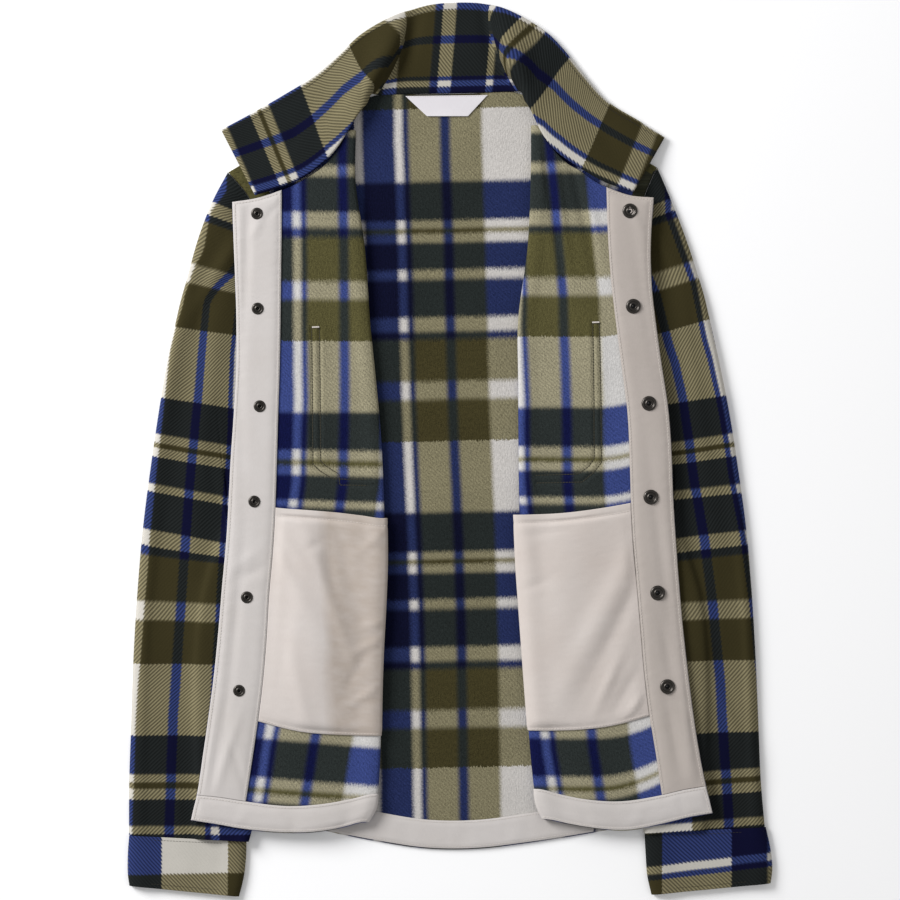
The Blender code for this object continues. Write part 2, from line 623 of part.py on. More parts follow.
def tube(name, outer, hollow, material):
    """Open tube of cloth between its outer rings and the rings of its hollow."""
    build = bmesh.new()
    flipped = faces_down(outer)
    outside = grid_faces(build, outer, closed=True, flipped=flipped)
    inside = grid_faces(build, hollow, closed=True, flipped=not flipped)
    count = outer.shape[1]
    for row, turned in ((0, flipped), (-1, not flipped)):
        for j in range(count):
            k = (j + 1) % count
            a, b, c, d = outside[row][j], outside[row][k], inside[row][k], inside[row][j]
            for face in ((a, b, c), (a, c, d)):
                build.faces.new(face[::-1] if turned else face)
    return finished_mesh(name, build, material)


def level_at(grid, x, y):
    """Height of a grid's surface over a point in plan, or None beside it."""
    for i in range(grid.shape[0] - 1):
        for j in range(grid.shape[1] - 1):
            a, b, c, d = grid[i, j], grid[i + 1, j], grid[i + 1, j + 1], grid[i, j + 1]
            for p, q, r in ((a, b, c), (a, c, d)):
                area = (q[0] - p[0]) * (r[1] - p[1]) - (q[1] - p[1]) * (r[0] - p[0])
                s = ((x - p[0]) * (r[1] - p[1]) - (y - p[1]) * (r[0] - p[0])) / area
                t = ((q[0] - p[0]) * (y - p[1]) - (q[1] - p[1]) * (x - p[0])) / area
                if s >= 0 and t >= 0 and s + t <= 1:
                    return p[2] + s * (q[2] - p[2]) + t * (r[2] - p[2])
    return None


def turned_snap(name, profile, x, y, surface, material):
    """Snap half, turned from its profile and seated just above the facing."""
    reach = profile[0][0]
    turns = np.linspace(0, 2 * math.pi, SNAP_STEPS + 1)
    ring = [(x + reach * math.cos(a), y + reach * math.sin(a)) for a in turns]
    floor = max(level_at(surface, px, py) for px, py in ring + [(x, y)])
    build = bmesh.new()
    outline = [build.verts.new((radius * MM, 0.0, height * MM)) for radius, height in reversed(profile)]
    foot = build.verts.new((0.0, 0.0, 0.0))
    outline.append(foot)
    for first, second in zip(outline, outline[1:]):
        build.edges.new((first, second))
    mesh = bpy.data.meshes.new(name)
    build.to_mesh(mesh)
    build.free()
    item = add_object(name, mesh, material)
    screw = item.modifiers.new("turning", "SCREW")
    screw.steps = SNAP_STEPS
    screw.render_steps = SNAP_STEPS
    screw.use_merge_vertices = True
    screw.merge_threshold = MERGE
    screw.use_smooth_shade = True
    item.location = (x * MM, y * MM, (floor + SEAM_GAP) * MM)
    return item


def make_back(materials):
    """Back panel, its hem facing and the bare neck label."""
    under = back_grid()
    sheet("back", under, FLEECE, materials["plaid_fleece_inside"], outward=True)
    first, last = BACK_FACING_COLUMNS
    band = under[-2:, first:last + 1]
    sheet("back_hem_facing", moved_out(band, FLEECE + SEAM_GAP), COTTON, materials["facing_cotton"],
          outward=True)
    curve = bpy.data.curves.new("neck_label", "CURVE")
    curve.dimensions = "2D"
    curve.fill_mode = "BOTH"
    curve.extrude = LABEL_WALL * MM / 2
    outline = curve.splines.new("POLY")
    outline.points.add(len(LABEL_OUTLINE) - 1)
    for point, (x, y) in zip(outline.points, LABEL_OUTLINE):
        point.co = (x * MM, y * MM, 0.0, 1.0)
    outline.use_cyclic_u = True
    label = add_object("neck_label", curve, materials["label_satin"])
    label.location.z = (FLEECE + SEAM_GAP + LABEL_WALL / 2) * MM
    weld = label.modifiers.new("caps", "WELD")
    weld.merge_threshold = MERGE


def make_front(side, snaps, snap_name, profile, materials):
    """One opened front with its facings, pockets and snaps."""
    inside = front_grid(side)
    sheet("front_" + side, inside, FLEECE, materials["plaid_fleece_inside"], outward=False)

    on_panel = moved_out(inside, SEAM_GAP)
    cotton = materials["facing_cotton"]
    hem_first, hem_last = HEM_FACING_ROWS
    strip = on_panel[:hem_first + 1, :FACING_COLUMN + 1]
    sheet("facing_" + side, strip, COTTON, cotton, outward=True)
    hem = parted(on_panel[hem_first:hem_last + 1, :WRAP_COLUMN + 1], row=SEAM_GAP)
    sheet("hem_facing_" + side, hem, COTTON, cotton, outward=True)
    bag_first, bag_last = POCKET_BAG_ROWS
    bag = parted(on_panel[bag_first:bag_last + 1, FACING_COLUMN:WRAP_COLUMN + 1], column=SEAM_GAP)
    sheet("pocket_bag_" + side, bag, COTTON, cotton, outward=True)

    patch_first, patch_last = POCKET_PATCH_ROWS
    under_panel = moved_out(inside, -FLEECE - SEAM_GAP)
    patch = under_panel[patch_first:patch_last + 1, POCKET_COLUMN:POCKET_END_COLUMN + 1]
    sheet("chest_pocket_" + side, patch, POCKET_PATCH, materials["plaid_fleece_outside"], outward=False)

    surface = moved_out(inside, SEAM_GAP + COTTON)[:hem_first + 1, :FACING_COLUMN + 1]
    for number, (x, y) in enumerate(snaps, start=1):
        turned_snap(f"{snap_name}_{number}", profile, x, y, surface, materials["snap_metal"])


def make_sleeve(side, materials):
    """A sleeve and its cuff, both flattened open tubes."""
    fleece = materials["plaid_fleece_outside"]
    tube("sleeve_" + side, sleeve_grid(side), sleeve_grid(side, FLEECE), fleece)
    tube("cuff_" + side, cuff_grid(side), cuff_grid(side, CUFF_WALL), fleece)


def main():
    """Build the jacket piece by piece."""
    clear_scene()
    group = bpy.data.collections.new(COLLECTION)
    bpy.context.scene.collection.children.link(group)
    materials = {name: make_material(name) for name in MATERIALS}
    make_back(materials)
    make_front("right", STUDS, "stud", STUD_PROFILE, materials)
    make_front("left", SOCKETS, "socket", SOCKET_PROFILE, materials)
    make_sleeve("right", materials)
    make_sleeve("left", materials)
    fleece = materials["plaid_fleece_outside"]
    sheet("collar", collar_grid(), COLLAR_WALL, fleece, outward=True, even=False)


main()
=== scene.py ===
"""Plaid fleece shirt jacket, laid open on its back on a pale floor.

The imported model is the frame. Each panel is laid again here as a finer cloth shell over its
solid, with the plaid charted stripe by stripe, the cotton facings, the stitching and the snaps.
Tables are in millimetres where nothing else is said, and the charts of the plaid in pixels of
the photograph, which a millimetre scale turns into places on the jacket.
"""
import logging
import math
from dataclasses import dataclass
from enum import Enum
from typing import Callable, NamedTuple, Optional, Sequence, Union

import bpy
import numpy as np
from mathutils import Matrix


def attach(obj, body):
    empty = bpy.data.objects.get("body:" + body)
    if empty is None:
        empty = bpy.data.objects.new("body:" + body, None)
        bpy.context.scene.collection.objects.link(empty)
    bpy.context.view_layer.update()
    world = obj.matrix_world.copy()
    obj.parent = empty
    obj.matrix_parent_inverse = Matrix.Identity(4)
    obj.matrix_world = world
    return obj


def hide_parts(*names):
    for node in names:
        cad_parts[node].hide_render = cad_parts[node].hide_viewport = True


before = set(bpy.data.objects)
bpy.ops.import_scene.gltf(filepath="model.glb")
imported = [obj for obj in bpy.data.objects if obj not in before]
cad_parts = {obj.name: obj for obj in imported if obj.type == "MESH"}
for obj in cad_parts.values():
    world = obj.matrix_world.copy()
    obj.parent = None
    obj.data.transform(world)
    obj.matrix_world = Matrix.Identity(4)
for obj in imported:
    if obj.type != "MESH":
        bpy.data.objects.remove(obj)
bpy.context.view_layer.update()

LOG = logging.getLogger("shirt_jacket")
Array = np.ndarray
Value = Union[float, bpy.types.NodeSocket]
Colour = tuple[float, float, float]

MM = 0.001
PIXEL = 0.96
PICTURE_MIDDLE = (450.0, 449.5)
BODY = "root"

# Cloth walls and levels, as in the solids
FLEECE = 2.0
COTTON = 1.0
POCKET_PATCH = 1.1
COLLAR_WALL = 4.0
CUFF_WALL = 2.4
LABEL_WALL = 0.6
SEAM_GAP = 0.3
FRONT_UNDER = FLEECE + SEAM_GAP
FRONT_OVER = 8.2
SLEEVE_RISE = 2.8
SLEEVE_OVER_BODY = FRONT_UNDER + FLEECE + 0.6
HEM_RISE = 1.4
UNDERARM_Y = -48.5
SLEEVE_HEIGHT = 5.4
SLEEVE_HEAD_HEIGHT = 5.0
CUFF_HEIGHT = 6.2
HEM_SWEEP = 1.43
SLEEVE_RAMP = 9.0
SLEEVE_RAMP_START = 2.0
UNDERARM_CLEARANCE = 2.0
UNDERARM_BLEND = 17.0
FRONT_RAMP_X = 92.0
FRONT_RAMP = 56.0
HEM_RISE_TOP = -275.0
HEM_RISE_BLEND = 40.0
HEM_RISE_SIDE = 160.0
HEM_RISE_SIDE_BLEND = 34.0

UPPER_STATIONS = (-1.0, -0.5, 0.0, 0.36, 0.6, 0.82, 1.0)
UNDER_STATIONS = (0.2, 0.4, 0.7, 1.0)
ROW_KNOTS = (-1.0, 0.0, 0.36, 0.68, 1.0)
FOLD_ANGLES = (36, 72, 108, 144, 180)
TUBE_ANGLES = (45, 90, 135)
FACING_COLUMN = 2
POCKET_COLUMN = 3
TURN_COLUMN = len(UPPER_STATIONS) - 1
WRAP_COLUMN = TURN_COLUMN + 2
POCKET_END_COLUMN = TURN_COLUMN + len(FOLD_ANGLES) + 2
POCKET_PATCH_ROWS = (3, 6)
POCKET_BAG_ROWS = (7, 12)
HEM_FACING_ROWS = (14, 16)
EVEN_HEAD = 0.4
RAMP_FRACTIONS = (0.3, 0.78)
EDGE_FRACTION_STEP = 0.05
EDGE_FRACTION_MOST = 0.92
HEAD_FADE = 1.5
CUFF_FRACTIONS = (0.0, 0.25, 0.5, 0.75, 1.0)
COLLAR_STATIONS = (0.0, 0.12, 0.3, 0.5, 0.72, 0.9, 1.0)
COLLAR_KNOTS = (0.0, 0.25, 0.5, 0.75, 1.0)


class Side(Enum):
    """The wearer's side that a piece belongs to."""

    RIGHT = "right"
    LEFT = "left"

    @property
    def outward(self) -> float:
        """Sign of x from the middle of the jacket to this side."""
        return -1.0 if self is Side.RIGHT else 1.0


class Edge(NamedTuple):
    """Places across a front at one height."""

    y: float
    front: float
    facing: float
    fold: float


class FrontRow(NamedTuple):
    """Heights of one row of a front at its named lines."""

    front: float
    facing: float
    pocket: float
    middle: float
    fold: float
    side: float
    bow: float


class SleeveRing(NamedTuple):
    """Ends of one ring of a sleeve in plan, and how far it follows the armhole."""

    outer_x: float
    outer_y: float
    inner_x: float
    inner_y: float
    head: float


class CuffRing(NamedTuple):
    """Ends of one ring of a cuff in plan."""

    outer_x: float
    outer_y: float
    inner_x: float
    inner_y: float


class CollarColumn(NamedTuple):
    """One column of the collar from the neck seam to the outer edge."""

    neck_x: float
    neck_y: float
    edge_x: float
    edge_y: float
    bow: float
    z0: float
    z1: float
    z2: float
    z3: float
    z4: float


class BackRow(NamedTuple):
    """Heights of one row of the back."""

    right: float
    middle: float
    left: float


class Crease(NamedTuple):
    """Soft ridge, or valley where its height is below zero, laid on a panel."""

    x: float
    y: float
    angle: float
    length: float
    width: float
    height: float


def table(kind: type, *rows: Sequence[float]) -> tuple:
    """Rows of one kind, from their plain numbers."""
    return tuple(kind(*map(float, row)) for row in rows)


# Where the front edge, the facing's inner edge and the fold lie at each height
FRONT_EDGES = {
    Side.RIGHT: table(Edge,
        (308, -208.3, -160.8, -90.2), (239.5, -208.8, -161.3, -89.3),
        (208.8, -207.8, -161.3, -83.5), (143.5, -205.4, -162.2, -78.7),
        (95.5, -204.5, -162.7, -73.9), (47.5, -206.4, -164.2, -69.1),
        (-0.5, -209.8, -165.6, -65.3), (-48.5, -212.2, -167, -63.4), (-106.1, -216, -170.4, -62.4),
        (-144.5, -219.8, -173.8, -63.4), (-192.5, -223.7, -176.6, -65.3),
        (-240.5, -229.4, -181.4, -66.2), (-288.5, -236.2, -188.2, -66.7),
        (-329.8, -242.4, -194.4, -69.1), (-343.2, -245.6, -196.8, -71),
        (-357.6, -249, -199.7, -78.7)),
    Side.LEFT: table(Edge,
        (311, 195.8, 148.8, 77.8), (239.5, 195.4, 150.2, 76.8), (181.9, 192, 152.6, 73),
        (143.5, 194.9, 156.5, 66.2), (95.5, 200.6, 162.2, 65.3), (47.5, 208.3, 169, 65.3),
        (-0.5, 212.2, 171.8, 65.8), (-48.5, 214.1, 173.3, 66.2), (-106.1, 217.9, 176.6, 68.2),
        (-144.5, 220.8, 180.5, 70.1), (-192.5, 225.6, 184.3, 72), (-240.5, 231.4, 189.1, 73.9),
        (-288.5, 238.6, 196.8, 76.8), (-325, 246, 202.1, 80.6), (-339.4, 249.6, 204.5, 82.6),
        (-355.2, 253.4, 207.4, 89.3)),
}

# Heights of each row of a front at its named lines, from the neckline down to the hem
FRONT_ROWS = {
    Side.RIGHT: table(FrontRow,
        (236.9, 248.5, 260.4, 277, 306.5, 266.4, 9.6),
        (203, 212.6, 223.2, 236.6, 260.6, 239.5, 4.8),
        (164.6, 170.4, 177.1, 184.8, 196.3, 191.5, 1.9),
        (123.4, 121.4, 120, 119.5, 118.6, 133.9, 0), (80.2, 79.2, 77.3, 75.4, 73.4, 76.3, 0),
        (32.2, 28.3, 24.5, 21.6, 18.7, 23.5, 0), (-15.8, -22.6, -27.4, -31.2, -33.1, -17.8, 0),
        (-49.4, -55.6, -58.4, -61.4, -65.8, UNDERARM_Y, 0),
        (-89.8, -96.5, -100.3, -103.2, -106.1, -86.9, 0),
        (-133, -139.7, -143.5, -146.4, -148.3, -130.1, 0),
        (-174.2, -181, -186.7, -189.6, -190.6, -173.3, 0),
        (-214.6, -221.3, -228, -231.8, -232.8, -211.7, 0),
        (-251, -260.2, -270.2, -273.4, -274.5, -250.1, 0),
        (-290.4, -299, -306.7, -307.7, -302.9, -283.7, 0),
        (-330.7, -336.9, -341.3, -337.9, -329.8, -312.5, 0),
        (-343.2, -350.4, -354.4, -352.8, -343.2, -325, 0),
        (-355.7, -363.8, -367.5, -365.8, -357.6, -336.5, 0)),
    Side.LEFT: table(FrontRow,
        (241.2, 251.2, 266.2, 282.2, 311, 271.2, 9.6),
        (205, 214.6, 226.1, 240.5, 265.4, 239.5, 4.8),
        (164.6, 169.4, 176.2, 183.8, 196.3, 191.5, 1.9),
        (125.3, 123.8, 122.9, 122.4, 121.4, 133.9, 0), (83, 81.1, 79.2, 77.3, 75.4, 76.3, 0),
        (37, 33.1, 29.3, 25.4, 22.6, 23.5, 0), (-10.1, -16.8, -23.5, -27.4, -29.3, -17.8, 0),
        (-43.7, -51, -57.4, -61.2, -62.5, UNDERARM_Y, 0),
        (-85, -92.6, -99.4, -103.2, -105.1, -86.9, 0),
        (-127.2, -134.9, -141.6, -145.4, -147.4, -130.1, 0),
        (-168.5, -176.2, -182.9, -186.7, -188.6, -173.3, 0),
        (-207.8, -215.5, -224.2, -229, -230.9, -211.7, 0),
        (-245.3, -254.9, -265.4, -268.9, -269.3, -250.1, 0),
        (-283.7, -293.3, -301.9, -302.9, -298.1, -283.7, 0),
        (-322.1, -330.7, -336.8, -333.6, -325, -317.3, 0),
        (-335.5, -344.4, -351.4, -348.5, -339.4, -332.6, 0),
        (-349, -358.2, -365.3, -361.9, -355.2, -346.1, 0)),
}

# The armhole seam, from the shoulder tip to the underarm
ARMHOLE = {
    Side.RIGHT: ((-213.1, 266.4), (-192.0, 239.5), (-180.5, 191.5), (-174.7, 133.9),
              (-174.2, 76.3), (-180.0, 23.5), (-189.0, -17.8), (-201.7, UNDERARM_Y)),
    Side.LEFT: ((198.7, 271.2), (185.8, 239.5), (179.5, 191.5), (175.7, 133.9),
             (174.7, 76.3), (180.0, 23.5), (190.0, -17.8), (203.7, UNDERARM_Y)),
}

# The side edge of the body, from the underarm to the hem, as height and place
SIDE_EDGE = {
    Side.RIGHT: ((UNDERARM_Y, -201.7), (-78.0, -211.0), (-106.0, -221.5), (-144.5, -232.0),
              (-180.0, -236.2), (-350.0, -236.2)),
    Side.LEFT: ((UNDERARM_Y, 203.7), (-78.0, 213.0), (-106.0, 223.5), (-144.5, 234.0),
             (-180.0, 238.1), (-350.0, 238.1)),
}

# Sleeve rings from the armhole to the cuff; head is how far a ring follows the armhole's curve
SLEEVE_RINGS = {
    Side.RIGHT: table(SleeveRing,
        (-213.1, 266.4, -201.7, -48.5, 1), (-227.5, 239.5, -206.1, -52.3, 0.86),
        (-241, 205, -209.4, -57.6, 0.7), (-252.5, 164.6, -211.3, -64.8, 0.52),
        (-263, 124.3, -211.1, -73.4, 0.34), (-271.7, 84, -208, -84, 0.18),
        (-280.3, 33.1, -197, -94.6, 0.06), (-288, -19.7, -186.2, -108, 0),
        (-294.2, -67.7, -172.8, -130.1, 0), (-299.5, -125.3, -164.2, -163.7, 0),
        (-303.8, -192.5, -162.2, -206.9, 0), (-306.2, -259.7, -166.1, -254.9, 0),
        (-308.2, -317.3, -175.7, -312.5, 0), (-308.5, -370.4, -192.5, -376.3, 0)),
    Side.LEFT: table(SleeveRing,
        (198.7, 271.2, 203.7, -48.5, 1), (212.2, 239.5, 208, -52.3, 0.86),
        (225.6, 205, 211.3, -57.6, 0.7), (239, 164.6, 213.3, -64.8, 0.52),
        (249.6, 124.3, 213, -73.4, 0.34), (258.7, 84, 210, -84, 0.18),
        (268.8, 33.1, 198.5, -94.6, 0.06), (277, -19.7, 188.2, -108, 0),
        (283.7, -67.7, 174.7, -130.1, 0), (289, -125.3, 166.1, -163.7, 0),
        (293.3, -192.5, 164.2, -206.9, 0), (296.2, -259.7, 168, -254.9, 0),
        (298.6, -317.3, 175.7, -312.5, 0), (302.4, -362.4, 185.8, -368.2, 0)),
}
CUFF_RINGS = {
    Side.RIGHT: table(CuffRing,
        (-308.4, -370.8, -195.3, -376.5), (-309.8, -389.3, -196, -394.1),
        (-309.9, -405.6, -198.1, -411.4), (-308.2, -419, -202.6, -429.4)),
    Side.LEFT: table(CuffRing,
        (303.6, -362.7, 186.8, -368.5), (308.2, -384.5, 187.9, -390.2),
        (309.8, -403.7, 189.7, -411.4), (308.2, -416.6, 193.5, -427.7)),
}

# Collar columns from the wearer's right end to the left end; z0 to z4 are heights of the
# underside from the neck seam to the outer edge, and bow bends a column sideways
COLLAR_COLUMNS = table(CollarColumn,
    (-186.6, 242.9, -219.8, 306.7, 0, 14, 10, 6.6, 3.6, 1.6),
    (-162.2, 251, -192, 321.7, 0, 13.2, 9.8, 6.4, 3.2, 1),
    (-138.2, 261.6, -160.3, 339.9, 0, 11.6, 9.4, 6.2, 3, 0.8),
    (-112.3, 283.7, -128.6, 359.9, 0, 10.8, 9.2, 6.2, 3, 0.8),
    (-97, 305.8, -105.6, 379.7, 0, 10.8, 9.2, 6.2, 3.2, 1),
    (-86, 324.2, -84.5, 398.9, 0, 10.8, 9.6, 7.2, 4.6, 2),
    (-75.8, 342.7, -44.2, 420, 4.5, 3, 9, 9.6, 6.4, 2.8),
    (-69.1, 340.9, -36.5, 422.9, 4.5, 0, 0, 0, 0, 0),
    (-36.5, 341.6, -16.3, 427.7, 0, 0, 0, 0, 0, 0), (-2.9, 342.2, 4.8, 429.4, 0, 0, 0, 0, 0, 0),
    (30.7, 342.9, 22.1, 429.3, 0, 0, 0, 0, 0, 0), (61, 344, 33.6, 428.2, -4.5, 0, 0, 0, 0, 0),
    (68.6, 345.1, 45.1, 425.5, -4.5, 3, 9, 9.6, 6.4, 2.8),
    (77.4, 325, 91.2, 401.3, 0, 10.8, 9.6, 7.2, 4.6, 2),
    (87.4, 303.9, 108.5, 384.5, 0, 10.8, 9.2, 6.2, 3.2, 1),
    (101.8, 285.6, 127.7, 360.5, 0, 10.8, 9.2, 6.2, 3, 0.8),
    (124.8, 269.4, 150.7, 334.6, 0, 11.6, 9.4, 6.2, 3, 0.8),
    (149.8, 255, 182.4, 314.9, 0, 13.2, 9.8, 6.4, 3.2, 1),
    (175.7, 246.2, 206.1, 299.4, 0, 14, 10, 6.6, 3.6, 1.6))

# The back's top edge follows the shoulders and the neck seam; other rows give heights at the
# right side, the middle and the left side
BACK_TOP = ((-213.1, 266.4), (-160.3, 299.0), (-115.2, 320.2), (-71.0, 340.3), (-25.0, 341.3),
            (19.2, 342.0), (61.4, 343.5), (105.6, 323.0), (150.7, 300.0), (198.7, 271.2))
BACK_STATIONS = (-1.0, -0.75, -0.52, -0.3, -0.1, 0.1, 0.3, 0.52, 0.75, 1.0)
BACK_ROWS = table(BackRow,
    (239.5, 290, 239.5), (191.5, 240, 191.5), (133.9, 170, 133.9), (76.3, 100, 76.3),
    (23.5, 30, 23.5), (-17.8, -25, -17.8), (UNDERARM_Y, -60, UNDERARM_Y), (-86.9, -105, -86.9),
    (-130.1, -150, -130.1), (-190, -215, -190), (-250, -290, -250), (-303.8, -357.6, -315.4),
    (-336.5, -385.4, -348))

# Snaps, at the centre of each on its facing
STUDS = ((-184.7, 225.8), (-184.1, 134.9), (-182.2, 41.4), (-187.3, -49.8), (-194.4, -141.5),
         (-201.9, -230.9))
SOCKETS = ((172.3, 228.4), (175.5, 137.1), (190.5, 44.1), (192.3, -45.6), (198.8, -137.3),
           (208.2, -227.0))

# How finely the cloth is divided, in millimetres: steps between points, and the widths over which
# edges round off
FLEECE_LIP = 1.0
FACE_LIP = 2.0
COTTON_LIP = 0.8
LINING_EDGE = 0.7
THIN_LIP = 0.5
LINING_STEPS = (3.0, 3.2)
BAND_STEPS = (3.0, 4.0)
FINE_STEP = 1.2
SEAM_REACH = 3.5
PATCH_STEP = 6.0
TUBE_STEP = 3.6
POCKET_STEPS = (1.5, 1.3)
POCKET_MARGINS = (8.0, 2.0)

# The back: limits of its creases; its hem band's gap to the hem, blend, puff, ripple, lift of the
# thread and place of its two seams from the band's edges
BACK_CREASE_LIMITS = (-0.6, 0.25)
HEM_SAMPLES = 400
BAND_HEM_GAP = 1.2
BAND_FINE = (6.0, 1.0)
BAND_BLEND = 5.0
BAND_PUFF = 0.7
BAND_RIPPLE = 0.16
BAND_THREAD_LIFT = 0.35
BAND_SEAMS = (1.8, 2.2)

# The label: width and length, steps, lift over the back, curl in the middle and at the free end
LABEL_SIZE = (78.0, 20.0)
LABEL_STEPS = (3.0, 2.5)
LABEL_LIFT = 0.15
LABEL_CURL = (0.35, 0.5)

# The cotton linings: blend from their edges, pull of a seam with the widths of pull and pucker, and
# shares of puff and creases at the edge
LINING_BLEND = 10.0
SEAM_PULL = 0.85
PULL_WIDTH = 2.2
PUCKER_WIDTH = 5.5
PUCKER_SHARE = 0.2
EDGE_PUFF = 0.35
EDGE_CREASE = 0.2
LINING_INSET = 0.3
SEAM_ENDS = (2.4, 1.5)
SEAM_STEP = 2.5
THREAD_LIFT = 0.12
DRAPE_BLEND = 26.0
DRAPE_SHARE = 1.15

# The chest pocket's stitching seen from inside: groove and the ridge between the two rows
GROOVE_WIDTH = 1.7
GROOVE_DEPTH = 1.25
RIDGE_WIDTH = 6.5
RIDGE_HEIGHT = 0.5
POCKET_THREAD_SINK = 0.6
TACK_LIFT = 1.3
TACK_SHIFT = 0.35

# The yoke and the olive cell at the shoulder: middle in pixels, and how far the plaid drifts there
SHOULDER_PLACE = (215.0, 180.0)
SHOULDER_DRIFT = (14.0, 12.0)
DRIFT_SHARE = 0.3

# Stitching of cuffs and collar, and the snaps' lift over the facing
CUFF_SEAM_SHARES = (0.16, 0.72)
CUFF_THREAD_LIFT = 0.15
COLLAR_STEP = 3.0
COLLAR_SEAM_INSET = 5.6
COLLAR_SEAM_RUNS = ((0.12, 5.9), (7.1, 10.9), (12.1, 17.88))
SNAP_LIFT = 0.85

# The bare label's corners: top left, top right, bottom right, bottom left
LABEL_OUTLINE = ((-42.9, 339.6), (36.2, 340.6), (17.3, 320.2), (-22.1, 320.2))

# Long soft folds of the opened fronts: centre, direction, length, width and height
SOFT_FOLDS = {
    Side.RIGHT: table(Crease,
        (-222, -270, 83, 150, 26, 1.2), (-100, -160, 62, 190, 70, 1.5),
        (-110, 215, 80, 150, 60, 1.2)),
    Side.LEFT: table(Crease,
        (226, -265, 97, 150, 26, 1.2), (150, -190, 58, 190, 70, 1.5), (106, 225, 96, 170, 60, 1.6)),
}

# Creases of the cotton and of the cloth that only the render shows
FACING_CREASES = {
    Side.RIGHT: table(Crease,
        (-195, 190, 88, 150, 8, -1.4), (-184, 214, 60, 26, 7, 0.9), (-172, 226, 48, 26, 6, -0.7),
        (-203, 60, 92, 200, 12, -0.9), (-190, -118, 24, 40, 9, -1), (-196, -106, 36, 34, 8, 0.7),
        (-206, -170, 84, 150, 9, -1.2), (-222, -285, 80, 90, 7, -1.6),
        (-213, -290, 72, 80, 7, 1.2), (-203, -302, 110, 50, 7, -0.9)),
    Side.LEFT: table(Crease,
        (176, 225, 118, 30, 7, 0.9), (190, 120, 100, 160, 11, -0.8), (202, -100, 97, 180, 10, -1),
        (208, -196, 100, 60, 8, -1.1), (216, -240, 150, 30, 6, -1), (214, -275, 100, 80, 8, -1.3),
        (228, -280, 96, 110, 8, 1)),
}
HEM_CREASES = {
    Side.RIGHT: table(Crease,
        (-200, -355, 60, 30, 9, 0.5), (-150, -361, 100, 24, 8, -0.5),
        (-110, -360, 80, 24, 10, 0.5)),
    Side.LEFT: table(Crease,
        (130, -356, 95, 24, 9, -0.5), (180, -352, 70, 26, 9, 0.5), (222, -342, 100, 26, 8, -0.5)),
}
BAND_CREASES = table(Crease,
    (-60, -372, 70, 24, 9, 0.5), (10, -378, 100, 26, 10, -0.5), (60, -374, 80, 24, 9, 0.4))
BAG_CREASES = {
    Side.RIGHT: table(Crease,
        (-130, -160, 95, 290, 60, 5), (-114, -145, 110, 150, 12, 1.3),
        (-98, -120, 104, 120, 16, -1), (-79, -188, 29, 34, 6, 1.3), (-82, -236, 34, 34, 6, 1.4),
        (-90, -212, 60, 40, 9, -1), (-92, -78, 150, 50, 7, 1.2), (-75, -88, 44, 36, 6, 1),
        (-129.6, -91.7, 30, 14, 7, -1.2), (-155, -90, 128, 60, 10, 0.8),
        (-150, -190, 84, 120, 16, 0.8), (-158, -112, 118, 90, 14, 1.4),
        (-143, -236, 100, 80, 14, 1.2), (-70, -166, 20, 30, 7, 1.3),
        (-116, -108, 96, 70, 13, -1.3)),
    Side.LEFT: table(Crease,
        (106, -150, 84, 280, 60, 4.4), (150, -150, 63, 170, 22, 2.4),
        (165, -158, 63, 150, 13, -1.4), (152, -222, 66, 60, 9, 1.8), (178, -243, 57, 34, 7, 2.2),
        (168, -232, 60, 50, 8, -1.4), (92, -80, 10, 60, 6, -0.7), (80, -108, 96, 60, 9, 0.8),
        (84, -130, 30, 30, 7, -0.8)),
}
BAG_OVERHANG = {Side.RIGHT: 2.0, Side.LEFT: 5.0}
BACK_BAND_ENDS = (-138.0, 138.0)
# At the shoulder seam the cloth behind shows: one olive corner, and the dark yoke below it
SHOULDER_X = 174.0
SHOULDER_Y = 236.0
YOKE_LEVEL = {Side.RIGHT: 200.0, Side.LEFT: 169.5}
OLIVE_CELL = (110.0, 308.0)
YOKE_CELL = (90.8, 300.0)
POCKET_SEAM_ROWS = (3.0, 7.0)
SLEEVE_CREASES = {
    Side.RIGHT: table(Crease,
        (-212, 186, 56, 90, 14, 2.2), (-236, 150, 60, 80, 14, 1.6), (-272, 66, 80, 220, 20, 3),
        (-232, 60, 83, 200, 24, 2.6), (-290, -150, 88, 240, 18, 1.2),
        (-244, -160, 90, 240, 26, 1.4), (-262, -340, 95, 70, 12, 1), (-230, -346, 86, 60, 12, 1.2)),
    Side.LEFT: table(Crease,
        (214, 180, 116, 100, 16, 2), (268, 60, 100, 220, 18, 3), (236, 60, 97, 200, 18, 1.6),
        (286, -150, 92, 240, 16, 1.6), (250, -160, 91, 240, 22, 1.4),
        (270, -260, 112, 110, 12, 1.4), (294, -300, 106, 100, 12, 1.4), (262, -340, 90, 60, 14, 1)),
}
NECK_FOLDS = {
    Side.RIGHT: (),
    Side.LEFT: table(Crease,
        (96, 245, 98, 130, 8, -2), (105, 240, 98, 130, 9, 1.8), (124, 240, 102, 130, 10, -1.8),
        (134, 236, 104, 120, 10, 1.2)),
}
COLLAR_CREASES = table(Crease,
    (-150, 300, 60, 60, 14, -0.8), (-100, 340, 52, 80, 12, -0.7), (108, 340, 128, 80, 12, -0.8),
    (150, 296, 122, 60, 14, -0.6))
BACK_CREASES = table(Crease,
    (-52, 60, 88, 520, 18, 0.7), (40, -60, 92, 480, 22, 0.6), (-10, -230, 94, 260, 26, 0.5),
    (6, 230, 84, 180, 24, 0.5))

